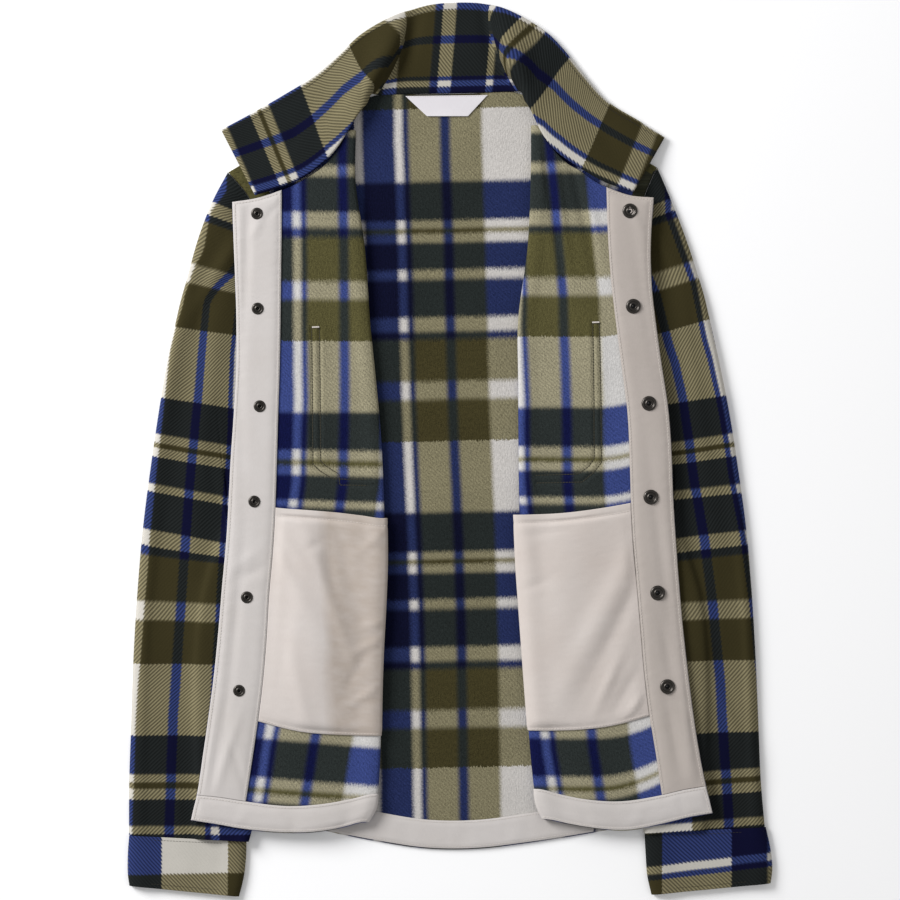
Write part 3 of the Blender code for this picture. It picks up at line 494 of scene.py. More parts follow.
# Snap halves, as radius and height of each point of a turned profile
STUD_RING = ((5.6, 0.0), (5.75, 0.35), (5.6, 0.8), (5.0, 1.25), (4.3, 1.35), (3.7, 1.1), (3.4, 0.7),
             (2.7, 0.75), (2.5, 1.6), (2.3, 2.0), (1.8, 2.1), (1.5, 1.8), (1.5, 0.0))
STUD_WELL = ((0.0, 0.1), (5.2, 0.1), (5.2, 0.5), (1.4, 0.6), (1.3, 0.9), (0.0, 0.9))
SOCKET_RING = ((7.0, 0.0), (7.15, 0.5), (6.9, 1.2), (6.2, 1.75), (5.4, 1.9), (4.8, 1.6), (4.5, 1.1),
               (4.2, 0.8), (3.2, 0.8), (3.0, 1.25), (2.5, 1.3), (2.2, 1.0), (2.2, 0.0))
SOCKET_WELL = ((0.0, 0.1), (6.6, 0.1), (6.6, 0.6), (2.0, 0.6), (1.2, 0.75), (0.9, 1.2), (0.0, 1.3))

# The chest pockets' two rows of stitching, in pixels of the photograph, and their bar tacks
POCKET_LINES = {
    Side.RIGHT: (((311.9, 328.0), (312.6, 400.0), (313.2, 464.0), (319.0, 470.0), (333.0, 479.0),
                  (372.0, 479.5)),
                 ((319.6, 328.0), (320.4, 400.0), (321.0, 461.0), (326.0, 466.0), (339.0, 474.0),
                  (340.0, 485.0), (374.0, 485.5))),
    Side.LEFT: (((592.5, 323.0), (593.6, 400.0), (594.0, 458.0), (589.0, 466.0), (578.0, 474.0),
                 (535.0, 475.4)),
                ((599.0, 323.0), (600.6, 400.0), (601.4, 462.0), (594.0, 472.0), (582.0, 482.0),
                 (536.0, 483.0))),
}
BAR_TACKS = {
    Side.RIGHT: ((312.6, 327.5), (319.4, 327.2)),
    Side.LEFT: ((592.2, 322.7), (598.6, 322.5)),
}

# The studio: the floor's own glow, each light's place, size and power, and the sky's strength
FLOOR_GLOW = 0.05
LIGHTS = (("key", (-2.5, 1.5, 1.75), 1.7, 134.0), ("fill", (2.4, -0.6, 2.6), 2.4, 7.0))
SKY = 0.42


class Yarn(Enum):
    """The three yarns of the plaid."""

    WHITE = 0
    NAVY = 1
    OLIVE = 2


W, N, O = Yarn.WHITE, Yarn.NAVY, Yarn.OLIVE

# The repeats of the plaid, as yarn and width in pixels of the photograph
WEFT_STRIPES = ((W, 74), (N, 39), (W, 10), (O, 6), (W, 10), (N, 30), (W, 8), (N, 36), (W, 15),
                (N, 7), (O, 38), (W, 15), (O, 37))
WARP_STRIPES = ((W, 7.3), (N, 33), (W, 8), (N, 6), (O, 31.5), (N, 10), (O, 32), (W, 62), (N, 33),
                (W, 8), (O, 5), (W, 8), (N, 26))
TWILL_PERIOD = 3.9


@dataclass(frozen=True)
class Chart:
    """Where the plaid falls on a panel, as read; all in pixels of the photograph.

    line is the place of one stripe's edge at each height, and line_warp its warp coordinate.
    bands pairs heights at the pivot column with weft coordinates, and tilts gives how a band
    falls to the right. squeeze narrows the stripes where the cloth turns away, and near does
    so on the other side of the line, where that side has a table of its own.
    """

    line: tuple[tuple[float, float], ...]
    line_warp: float
    direction: float
    bands: tuple[tuple[float, float], ...]
    tilts: tuple[tuple[float, float], ...]
    pivot: float
    squeeze: tuple[tuple[float, float], ...] = ((0.0, 1.0), (900.0, 1.0))
    near: tuple[tuple[float, float], ...] = ()
    near_right: bool = True
    lift_from: float = 2000.0
    lift: float = 0.0

    def places(self, x: Array, y: Array) -> tuple[Array, Array]:
        """Warp and weft coordinates of points in plan.

        Args:
            x: Places across, in millimetres.
            y: Places along, in millimetres.

        Returns:
            The warp and the weft coordinate of each point, in metres of cloth.
        """
        across, down = in_picture(x, y)
        tilt = np.interp(down, *zip(*self.tilts))
        level = down - tilt * (across - self.pivot)
        level = level + self.lift * np.clip(across - self.lift_from, 0.0, None) ** 2
        edge = np.interp(level, *zip(*self.line))
        scale = np.interp(level, *zip(*self.squeeze))
        if self.near:
            beside = (across > edge) == self.near_right
            scale = np.where(beside, np.interp(level, *zip(*self.near)), scale)
        warp = self.line_warp + self.direction * (across - edge) * scale
        heights, wefts = zip(*self.bands)
        first = wefts[0] + (level - heights[0])
        last = wefts[-1] + (level - heights[-1])
        weft = np.interp(level, heights, wefts)
        weft = np.where(level < heights[0], first, np.where(level > heights[-1], last, weft))
        return warp * PIXEL * MM, weft * PIXEL * MM


FRONT_CHARTS = {
    Side.RIGHT: Chart(
        line=((160, 292), (240, 293.5), (350, 294), (400, 294.5), (450, 293), (480, 292.6),
              (500, 290), (720, 268), (750, 262.5), (790, 256.5), (830, 250)),
        line_warp=40.3, direction=1.0,
        bands=((166, -156), (177, -148), (212.5, -112), (228, -97), (238, -90), (282, -52),
               (300, -37), (341.5, 0), (412.5, 74), (450, 113), (459.5, 123), (465.5, 129),
               (475, 139), (500, 169), (507, 177), (670.6, 325), (741, 399), (780, 438),
               (790, 448), (796, 454), (804, 464)),
        tilts=((420, 0.0), (480, 0.03), (740, 0.085), (830, 0.07)), pivot=300.0),
    Side.LEFT: Chart(
        line=((130, 580), (150, 583), (200, 588.5), (240, 592.5), (300, 599), (350, 601.5),
              (400, 603.5), (480, 604), (560, 611), (750, 630), (790, 636.5), (830, 642)),
        line_warp=127.8, direction=1.0,
        bands=((163, -156), (173, -148), (211, -112), (226, -97), (233, -90), (278, -52),
               (296, -37), (337, 0), (407.5, 74), (447, 113), (457, 123), (462, 129),
               (470.5, 139), (497, 169), (504, 177), (665, 325), (738, 399), (776, 438),
               (786, 448), (791, 454), (799, 464)),
        tilts=((500, 0.0), (830, 0.0)), pivot=560.0,
        squeeze=((130, 1.12), (260, 1.07), (330, 1.0), (900, 1.0)), lift_from=596.0, lift=0.0042),
}
BACK_CHART = Chart(
    line=((107, 394), (140, 394.5), (250, 398.2), (400, 402), (540, 408), (640, 411), (820, 413.8)),
    line_warp=40.3, direction=1.0,
    bands=((107, 0), (180, 74), (219, 113), (226.5, 123), (232, 129), (241, 139), (268, 169),
           (278, 177), (316, 213), (330, 228), (338, 235), (380, 273), (398, 288), (440, 325),
           (511, 399), (551, 438), (558, 448), (563, 454), (572, 464), (598, 494), (608, 502),
           (646, 538), (660, 553), (668, 560), (709, 598), (727, 613), (767, 650), (841, 724)),
    tilts=((0, -0.022), (900, -0.022)), pivot=500.0)
SLEEVE_CHARTS = {
    Side.RIGHT: Chart(
        line=((180, 265), (205, 250), (230, 245), (250, 240), (265, 232), (280, 219), (300, 206.5),
              (335, 203.5), (359, 201.5), (500, 188.5), (715, 173), (832, 169)),
        line_warp=90.8, direction=-1.0,
        bands=((160, -148), (197, -112), (211, -97), (219, -90), (265.5, -52), (285.5, -37),
               (330.7, 0), (403, 74), (441, 113), (449.5, 123), (455, 129), (464, 139),
               (492, 169), (500, 177), (539, 213), (554, 228), (561, 235), (603, 273),
               (621.5, 288), (664, 325), (735, 399), (774.6, 438), (782, 448), (789, 454),
               (799.5, 464), (826, 494), (834, 502)),
        tilts=((200, 0.42), (265, 0.31), (290, 0.22), (330, 0.14), (400, 0.15), (460, 0.17),
               (540, 0.19), (560, 0.1), (600, 0.04), (660, 0.0), (850, 0.0)), pivot=200.0,
        squeeze=((200, 0.96), (227, 0.96), (267, 1.05), (285, 1.4), (303, 1.68), (327, 1.36),
                 (354, 1.16), (430, 1.13), (500, 1.08), (600, 1.03), (700, 1.0)),
        near=((200, 1.2), (350, 1.32), (430, 1.13), (500, 1.08), (600, 1.03), (700, 1.0))),
    Side.LEFT: Chart(
        line=((205, 626), (270, 650), (285, 656), (300, 659.5), (340, 669), (360, 675), (400, 683),
              (440, 689), (480, 694), (540, 704), (600, 712), (640, 716), (680, 720), (719, 722),
              (820, 728.7)),
        line_warp=90.8, direction=-1.0,
        bands=((156, -148), (191, -112), (204, -97), (212, -90), (262, -52), (281, -37), (325, 0),
               (400.6, 74), (440, 113), (448.5, 123), (453.5, 129), (462, 139), (489, 169),
               (498, 177), (537, 213), (551, 228), (559.5, 235), (602, 273), (620, 288),
               (661, 325), (733, 399), (773, 438), (781, 448), (787, 454), (797, 464),
               (822, 494), (830, 502)),
        tilts=((200, -0.4), (270, -0.32), (330, -0.28), (400, -0.15), (440, -0.15), (490, -0.1),
               (540, -0.12), (600, -0.05), (660, -0.02), (733, -0.03), (770, -0.08),
               (850, -0.08)), pivot=690.0,
        squeeze=((200, 0.94), (223, 0.96), (257, 1.0), (301, 1.08), (354, 1.16), (500, 1.05),
                 (600, 1.0)),
        near=((200, 1.16), (350, 1.16), (500, 1.05), (600, 1.0)), near_right=False),
}
# The collar's plaid lies across the grain: weft coordinate by place in the flat middle and by
# column on the wings, warp coordinate by depth from the outer edge
COLLAR_MIDDLE_WEFT = ((380, 296), (388, 288), (401, 273), (434, 235), (442, 228), (455, 213),
                      (490.6, 177), (497, 169), (520, 146))
COLLAR_OUTER_WEFT = ((0, 502), (1, 464), (1.54, 438), (2.53, 399), (4.45, 325), (5.54, 288),
                     (6, 273), (12, 169), (12.5, 139), (13, 113), (14.36, 74), (16.1, 0),
                     (17.1, -37), (17.72, -52), (18, -60))
COLLAR_NECK_WEFT = ((0, 497), (1, 464), (1.72, 438), (2.81, 399), (6, 325), (12, 95), (13, 74),
                    (16.05, 0), (17.4, -37), (18, -52))
COLLAR_OUTER_WARP = ((0, 130), (5, 131), (6.5, 134.8), (11.5, 134.8), (13, 131), (18, 130))
COLLAR_NECK_WARP = ((0, 38), (2.5, 39), (3, 41), (4, 50), (5, 58), (6, 60), (6.5, 33.3),
                    (11.5, 33.3), (12, 62), (13, 57), (14, 43), (15, 37), (16, 38), (17, 36),
                     (18, 40))
COLLAR_NAVY_SHARE = ((0, 0.364), (1, 0.405), (2, 0.469), (3, 0.45), (4, 0.465), (5, 0.57),
                     (6, 0.61), (6.5, 0.4), (11.5, 0.4), (12, 0.53), (13, 0.542), (14, 0.43),
                     (15, 0.391), (16, 0.329), (17, 0.326), (18, 0.298))
NAVY_WARP = 90.8
COLLAR_SLANT = 0.08
COLLAR_SLANT_LEVEL = 28.0
COLLAR_DEPTH_WARP = ((0, 134.8), (7, 127.8), (32, 95.8), (40, 85.8), (73, 54.3), (77, 48.3),
                     (83, 40.3), (90, 33.3))
COLLAR_DEPTH = 90.0
COLLAR_MIDDLE_COLUMNS = (6.6, 11.4)
CUFF_PLAID = {
    Side.RIGHT: (228.0, -1.12, 873.5, 127.8, -1.0, -0.02, 200.0),
    Side.LEFT: (662.0, 1.07, 861.0, 40.3, 1.0, -0.12, 700.0),
}


def smooth(knots: Sequence[float], values: Array, at: Array) -> Array:
    """Cubic curve through the values, with the slopes of their neighbours.

    Args:
        knots: Place of each value, rising or falling.
        values: The values, one row for each knot.
        at: Places to read.

    Returns:
        The curve's values at those places.
    """
    knots = np.asarray(knots, dtype=float)
    values = np.asarray(values, dtype=float)
    if knots[0] > knots[-1]:
        knots = knots[::-1]
        values = values[::-1]
    slopes = np.gradient(values, knots, axis=0)
    at = np.clip(np.asarray(at, dtype=float), knots[0], knots[-1])
    start = np.clip(np.searchsorted(knots, at, side="right") - 1, 0, len(knots) - 2)
    span = knots[start + 1] - knots[start]
    t = (at - knots[start]) / span
    shape = (-1,) + (1,) * (values.ndim - 1)
    t = t.reshape(shape) if values.ndim > 1 else t
    span = span.reshape(shape) if values.ndim > 1 else span
    return (values[start] * (1 + 2 * t) * (1 - t) ** 2 + span * slopes[start] * t * (1 - t) ** 2
            + values[start + 1] * t ** 2 * (3 - 2 * t)
            - span * slopes[start + 1] * t ** 2 * (1 - t))


def plan(points: Array) -> tuple[Array, Array]:
    """Places across and along of points."""
    return points[..., 0], points[..., 1]


def in_picture(x: Array, y: Array) -> tuple[Array, Array]:
    """Turn places in plan, in millimetres, into pixels of the photograph."""
    return x / PIXEL + PICTURE_MIDDLE[0], PICTURE_MIDDLE[1] - y / PIXEL


def on_jacket(line: Sequence[tuple[float, float]]) -> list[tuple[float, float]]:
    """Turn corners in pixels of the photograph into places in plan, in millimetres."""
    return [((px - PICTURE_MIDDLE[0]) * PIXEL, (PICTURE_MIDDLE[1] - py) * PIXEL) for px, py in line]


def on_line(place: float, reach: Array, points: Array) -> Array:
    """The point of a line at a length along it."""
    return np.array([np.interp(place, reach, points[:, k]) for k in range(3)])


def upright(points: Array) -> Array:
    """Normals that point straight up, one for each point."""
    return np.tile((0.0, 0.0, 1.0), (len(points), 1))


def facing_up(normals: Array) -> Array:
    """How far each point of a grid faces up, from 0 to 1."""
    return np.clip(normals[:, :, 2], 0.0, 1.0) ** 2


def ramp(value: Array) -> Array:
    """Smooth step from 0 to 1."""
    t = np.clip(value, 0.0, 1.0)
    return t * t * (3 - 2 * t)


def crease_height(creases: Sequence[Crease], x: Array, y: Array) -> Array:
    """Height that soft creases add at points in plan.

    Args:
        creases: Ridges and valleys, in millimetres.
        x: Places across, in millimetres.
        y: Places along, in millimetres.

    Returns:
        The height at each point, in millimetres.
    """
    total = np.zeros(np.shape(x))
    for crease in creases:
        angle = math.radians(crease.angle)
        along = (x - crease.x) * math.cos(angle) + (y - crease.y) * math.sin(angle)
        across = (y - crease.y) * math.cos(angle) - (x - crease.x) * math.sin(angle)
        total = total + crease.height * np.exp(-(2 * along / crease.length) ** 2
                                               - (2 * across / crease.width) ** 2)
    return total


def side_edge(side: Side, y: float) -> float:
    """Place of the body's side edge at a height."""
    heights, places = zip(*SIDE_EDGE[side])
    return float(smooth(heights, np.array(places), np.array([y]))[0])


def hem_rise(x: float, y: float) -> float:
    """Lift of a front where it lies on the back's hem facing."""
    below_top = ramp((HEM_RISE_TOP - y) / HEM_RISE_BLEND)
    return float(HEM_RISE * below_top * ramp((HEM_RISE_SIDE - abs(x)) / HEM_RISE_SIDE_BLEND))


def front_level(side: Side, x: float, y: float) -> float:
    """Underside of an opened front: low at the fold, higher over the sleeve."""
    over_sleeve = float(ramp((abs(x) - FRONT_RAMP_X) / FRONT_RAMP))
    folds = float(crease_height(SOFT_FOLDS[side], x, y))
    return FRONT_OVER + SLEEVE_RISE * over_sleeve + hem_rise(x, y) + folds


def unit_normals(grid: Array, closed: bool = False) -> Array:
    """Unit normals of a grid's points; they point up at its first column.

    Args:
        grid: Points, row by row.
        closed: Whether each row is a ring.

    Returns:
        One normal for each point.
    """
    along = np.gradient(grid, axis=0)
    if closed:
        across = (np.roll(grid, -1, axis=1) - np.roll(grid, 1, axis=1)) / 2
    else:
        across = np.gradient(grid, axis=1)
    normals = np.cross(along, across)
    normals /= np.maximum(np.linalg.norm(normals, axis=2), 1e-9)[:, :, None]
    if normals[:, 0, 2].mean() < 0:
        normals = -normals
    return normals


def arc(points: Array) -> Array:
    """Length along a line of points up to each of them."""
    steps = np.linalg.norm(np.diff(points, axis=0), axis=1)
    return np.concatenate([[0.0], np.cumsum(steps)])


def edged(first: float, last: float, step: float, lip: float) -> Array:
    """Places along one way of a cloth, close together at its two edges.

    Args:
        first: Place of the first edge, in millimetres.
        last: Place of the last edge.
        step: Spacing in the middle.
        lip: Width over which the edge rounds off.

    Returns:
        The places, from first to last.
    """
    length = last - first
    near = np.array([0.0, 0.3, 0.8, 1.6]) * lip
    count = max(2, int(round((length - 2 * near[-1]) / step)))
    middle = np.linspace(near[-1], length - near[-1], count + 1)
    return first + np.concatenate([near[:-1], middle, length - near[-2::-1]])


def finer(stations: Array, first: float, last: float, step: float) -> Array:
    """Set the stations closer together between two places."""
    first, last = max(first, stations[0]), min(last, stations[-1])
    if last - first < step:
        return stations
    band = np.linspace(first, last, int(round((last - first) / step)) + 1)
    outside = stations[(stations < first - 0.4 * step) | (stations > last + 0.4 * step)]
    return np.sort(np.concatenate([outside, band]))


def groove(lines: Sequence[Sequence[tuple[float, float]]], x: Array, y: Array,
           width: float) -> Array:
    """Nearness to lines read in the photograph's pixels, 1 on a line and 0 away from it.

    Args:
        lines: Corners of each line.
        x: Places across, in millimetres.
        y: Places along, in millimetres.
        width: Half width of the groove, in millimetres.

    Returns:
        The nearness of each point.
    """
    total = np.zeros(np.shape(x))
    for line in lines:
        places = on_jacket(line)
        for (ax, ay), (bx, by) in zip(places[:-1], places[1:]):
            length = (bx - ax) ** 2 + (by - ay) ** 2
            share = np.clip(((x - ax) * (bx - ax) + (y - ay) * (by - ay)) / length, 0.0, 1.0)
            away = np.hypot(x - ax - share * (bx - ax), y - ay - share * (by - ay))
            total = np.maximum(total, np.exp(-(away / width) ** 2))
    return total


class Surface:
    """Smooth surface through a coarse grid of points; rows and columns may be fractions."""

    def __init__(self, grid: Array, closed: bool = False) -> None:
        """Measure the grid.

        Args:
            grid: Points, row by row, in millimetres.
            closed: Whether each row is a ring.
        """
        self.closed = closed
        self.columns = grid.shape[1]
        if closed:
            grid = np.concatenate([grid[:, -3:], grid, grid[:, :4]], axis=1)
        self.grid = grid
        self.row_knots = np.mean([arc(grid[:, j]) for j in range(grid.shape[1])], axis=0)
        self.column_knots = np.mean([arc(row) for row in grid], axis=0)

    def row_place(self, number: float) -> float:
        """Place of a row along the mean column, in millimetres."""
        return float(np.interp(number, np.arange(len(self.row_knots)), self.row_knots))

    def column_place(self, number: float) -> float:
        """Place of a column along the mean row, in millimetres."""
        numbers = np.arange(len(self.column_knots)) - (3 if self.closed else 0)
        return float(np.interp(number, numbers, self.column_knots))

    def width(self, first: float, last: float) -> float:
        """Mean length between two columns."""
        return self.column_place(last) - self.column_place(first)

    def turned(self, shares: Array) -> Array:
        """Column places at shares of the way round a ring."""
        return self.column_place(0) + shares * self.width(0, self.columns)

    def at(self, rows: Array, columns: Array) -> Array:
        """Points at every crossing of places along the rows and the columns.

        Args:
            rows: Places down the mean column, in millimetres.
            columns: Places along the mean row, in millimetres.

        Returns:
            The points, row by row.
        """
        lines = smooth(self.row_knots, self.grid, np.asarray(rows, dtype=float))
        turned = smooth(self.column_knots, lines.transpose(1, 0, 2),
                        np.asarray(columns, dtype=float))
        return turned.transpose(1, 0, 2)


@dataclass
class Cloth:
    """A closed shell of cloth on a grid of points.

    points is the face towards the eye, thickness goes against the normals, and lip is the
    radius of the rounded edges. warp and weft are cloth coordinates in metres.
    """

    name: str
    points: Array
    thickness: float
    warp: Array
    weft: Array
    lip: float = 0.0

    def mesh(self) -> bpy.types.Mesh:
        """Build the shell's mesh with its cloth coordinates."""
        normals = unit_normals(self.points)
        keep = self._rounding()
        middle = self.points - normals * (self.thickness / 2)
        half = normals * (self.thickness / 2) * keep[:, :, None]
        top = middle + half
        bottom = middle - half
        return grid_shell(self.name, top, bottom, self.warp, self.weft)

    def _rounding(self) -> Array:
        """Share of the wall that stays at each point, less near the edges."""
        rows, columns = self.points.shape[:2]
        keep = np.ones((rows, columns))
        if self.lip <= 0:
            return keep
        along = np.array([arc(self.points[:, j]) for j in range(columns)]).T
        across = np.array([arc(row) for row in self.points])
        for places in (along, along[-1] - along, across, across[:, -1:] - across):
            near = np.clip(places / self.lip, 0.0, 1.0)
            keep *= 0.3 + 0.7 * np.sqrt(1 - (1 - near) ** 2)
        return keep

    def size(self) -> tuple[float, float]:
        """Greatest width and length of the cloth when flat, in metres."""
        width = max(arc(row)[-1] for row in self.points)
        length = max(arc(self.points[:, j])[-1] for j in range(self.points.shape[1]))
        return width * MM, length * MM


# A stitch's sections: place along it as a share of its length, and share of the thread's radius
STITCH_SECTIONS = ((-0.5, 0.35), (-0.34, 0.9), (0.0, 1.0), (0.34, 0.9), (0.5, 0.35))
STITCH_SIDES = 6

# A face whose cloth coordinates spread over more than this, in metres, and over more than this
# many times its own size lies across a seam of the plaid: it keeps its first corner's place
SPLIT_SPREAD = 0.016
SPLIT_STRETCH = 2.2


def grid_shell(name: str, top: Array, bottom: Array, warp: Array, weft: Array,
               closed: bool = False) -> bpy.types.Mesh:
    """Join an upper and a lower grid of points into one closed shell.

    Args:
        name: The mesh's name.
        top: Points of the outer face, in millimetres.
        bottom: Points of the inner face, in millimetres.
        warp: Warp coordinate of each point, in metres.
        weft: Weft coordinate of each point, in metres.
        closed: Whether each row is a ring.

    Returns:
        The mesh, with its cloth coordinates in the map named cloth.
    """
    rows, columns = top.shape[:2]
    count = rows * columns
    number = np.arange(count).reshape(rows, columns)
    wrapped = np.concatenate([number, number[:, :1]], axis=1) if closed else number
    a, b = wrapped[:-1, :-1].ravel(), wrapped[1:, :-1].ravel()
    c, d = wrapped[1:, 1:].ravel(), wrapped[:-1, 1:].ravel()
    faces = [np.stack([a, b, c, d], axis=1), np.stack([d, c, b, a], axis=1) + count]
    rims = [(wrapped[0], True), (wrapped[-1], False)]
    if not closed:
        rims += [(number[:, 0], False), (number[:, -1], True)]
    for line, turned in rims:
        e, f = line[:-1], line[1:]
        ring = [f + count, e + count, e, f] if turned else [e + count, f + count, f, e]
        faces.append(np.stack(ring, axis=1))
    quads = np.concatenate(faces)
    first = np.cross(top[1, 0] - top[0, 0], top[0, 1] - top[0, 0])
    if np.dot(first, top[0, 0] - bottom[0, 0]) < 0:
        quads = quads[:, ::-1]
    mesh = bpy.data.meshes.new(name)
    points = np.concatenate([top.reshape(-1, 3), bottom.reshape(-1, 3)]) * MM
    points[:, 2] = np.maximum(points[:, 2], 0.0)
    mesh.from_pydata(points.tolist(), [], quads.tolist())
    coordinates = np.stack([np.tile(warp.ravel(), 2), np.tile(weft.ravel(), 2)], axis=1)[quads]
    spread = (coordinates.max(axis=1) - coordinates.min(axis=1)).max(axis=1)
    corners = points[quads]
    reach = (corners.max(axis=1) - corners.min(axis=1)).max(axis=1)
    split = (spread > SPLIT_SPREAD) & (spread > SPLIT_STRETCH * reach)
    coordinates[split] = coordinates[split][:, :1]
    cloth = mesh.uv_layers.new(name="cloth")
    cloth.data.foreach_set("uv", coordinates.ravel().astype(np.float32))
    mesh.shade_smooth()
    return mesh


def placed(name: str, data: Optional[bpy.types.ID]) -> bpy.types.Object:
    """Make an object and link it to the scene."""
    thing = bpy.data.objects.new(name, data)
    bpy.context.scene.collection.objects.link(thing)
    return thing


def add_piece(name: str, mesh: bpy.types.Mesh, material: bpy.types.Material,
              replaces: Sequence[str] = ()) -> bpy.types.Object:
    """Link a piece to the scene, on the body, with its finish and the nodes it stands for.

    Args:
        name: The piece's name.
        mesh: Its mesh.
        material: Its finish.
        replaces: CAD nodes that it stands for.

    Returns:
        The new object.
    """
    mesh.materials.append(material)
    piece = placed(name, mesh)
    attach(piece, BODY)
    if replaces:
        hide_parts(*replaces)
    LOG.info("%s: %d faces", name, len(mesh.polygons))
    return piece


def threads_mesh(name: str, centres: Array, directions: Array, ups: Array, length: float,
                 radius: float) -> bpy.types.Mesh:
    """Small rounded stitches, each a low six-sided capsule.

    Args:
        name: The mesh's name.
        centres: Middle of each stitch, in millimetres.
        directions: Unit direction of each stitch.
        ups: Unit normal of the cloth under each stitch.
        length: Length of a stitch, in millimetres.
        radius: Radius of the thread, in millimetres.

    Returns:
        One mesh with all the stitches.
    """
    sides = np.cross(directions, ups)
    turns = np.linspace(0, 2 * math.pi, STITCH_SIDES + 1)[:-1]
    points = []
    for along, swell in STITCH_SECTIONS:
        lift = radius * (1 - abs(2 * along)) * 0.5
        for turn in turns:
            offset = (directions * (along * length) + sides * (math.cos(turn) * radius * swell)
                      + ups * (math.sin(turn) * radius * swell + lift))
            points.append(centres + offset)
    points = np.array(points).transpose(1, 0, 2)
    last = (len(STITCH_SECTIONS) - 1) * STITCH_SIDES
    faces = []
    for start in range(0, last, STITCH_SIDES):
        after = start + STITCH_SIDES
        for k in range(STITCH_SIDES):
            n = (k + 1) % STITCH_SIDES
            faces.append((start + k, start + n, after + n, after + k))
    faces += [tuple(range(STITCH_SIDES - 1, -1, -1)), tuple(range(last, last + STITCH_SIDES))]
    size = last + STITCH_SIDES
    every = [tuple(index * size + v for v in face) for index in range(len(centres))
             for face in faces]
    mesh = bpy.data.meshes.new(name)
    mesh.from_pydata((points.reshape(-1, 3) * MM).tolist(), [], every)
    mesh.shade_smooth()
    return mesh


def linear(colour: tuple[float, float, float]) -> tuple[float, float, float, float]:
    """Turn a display colour of 0 to 255 into the linear colour that a shader takes."""
    scaled = [channel / 255 for channel in colour]
    turned = [c / 12.92 if c <= 0.04045 else ((c + 0.055) / 1.055) ** 2.4 for c in scaled]
    return (turned[0], turned[1], turned[2], 1.0)


class Grain(NamedTuple):
    """A smooth noise: grains in a metre, octaves added to the first, and their strength."""

    scale: float
    detail: float
    roughness: float = 0.5


# The fleece's grains: slow wander, tufts, sideways fibres, hairs, uneven threads, mottle, clouds
WANDER, TUFT, SIDE_FIBRE = Grain(26.0, 1.0), Grain(800.0, 2.0, 0.65), Grain(700.0, 2.0, 0.6)
HAIR, THREAD_GRAIN = Grain(1150.0, 2.0, 0.75), Grain(760.0, 1.0)
MOTTLE, CLOUD = Grain(430.0, 2.0, 0.6), Grain(16.0, 2.0)
# Its fibres' length along the cloth against their width: tufts, sideways fibres, threads
TUFT_STRETCH, SIDE_STRETCH, THREAD_STRETCH = 0.35, 0.6, 0.3
# How far its stripes' edges stray, in metres. Each pair here is what a brushed face adds, and
# what the crisp one has
FRAY_ACROSS, FRAY_ALONG = (2.4 * MM, 0.6 * MM), (5.6 * MM, 0.8 * MM)
FRAY_HAIR = (3.0 * MM, 0.9 * MM)
TWILL_STEP, WANDER_REACH, WANDER_TURNS = 0.5 * MM, 1.2 * MM, 0.9
# Its tones: twill lines, specks, lying tufts and mottle in pairs as above, and soft clouds
LINE_TONE, SPECK_TONE, TUFT_TONE, MOTTLE_TONE = (-0.74, 1.0), (1.7, 0.6), (0.8, 0.15), (0.5, 0.12)
CLOUD_TONE, DARKEST_TONE = 0.3, 0.12
# Lines against the share of white and the uneven threads; specks and tufts are calmer in white
WHITE_LINES, THREAD_LINES = (0.27, 0.2), (1.0, 0.5)
WHITE_SPECKS, WHITE_TUFTS = (-0.65, 1.0), (-0.5, 1.0)
# Its relief: ribs and nap in pairs as above, ribs in mixed cells, and hairs
RIB_RELIEF, NAP_RELIEF, MIXED_RIBS, HAIR_RELIEF = (-0.3, 0.45), (1.4, 0.2), (0.8, 0.2), 0.6

# The cotton's grains: slubs, broad shade and puckers; and the metal's: rubbed marks and pits
SLUB, BROAD, PUCKER = Grain(220.0, 2.0), Grain(14.0, 3.0, 0.55), Grain(60.0, 2.0)
RUBBED, PITS = Grain(700.0, 3.0, 0.6), Grain(2400.0, 1.0)


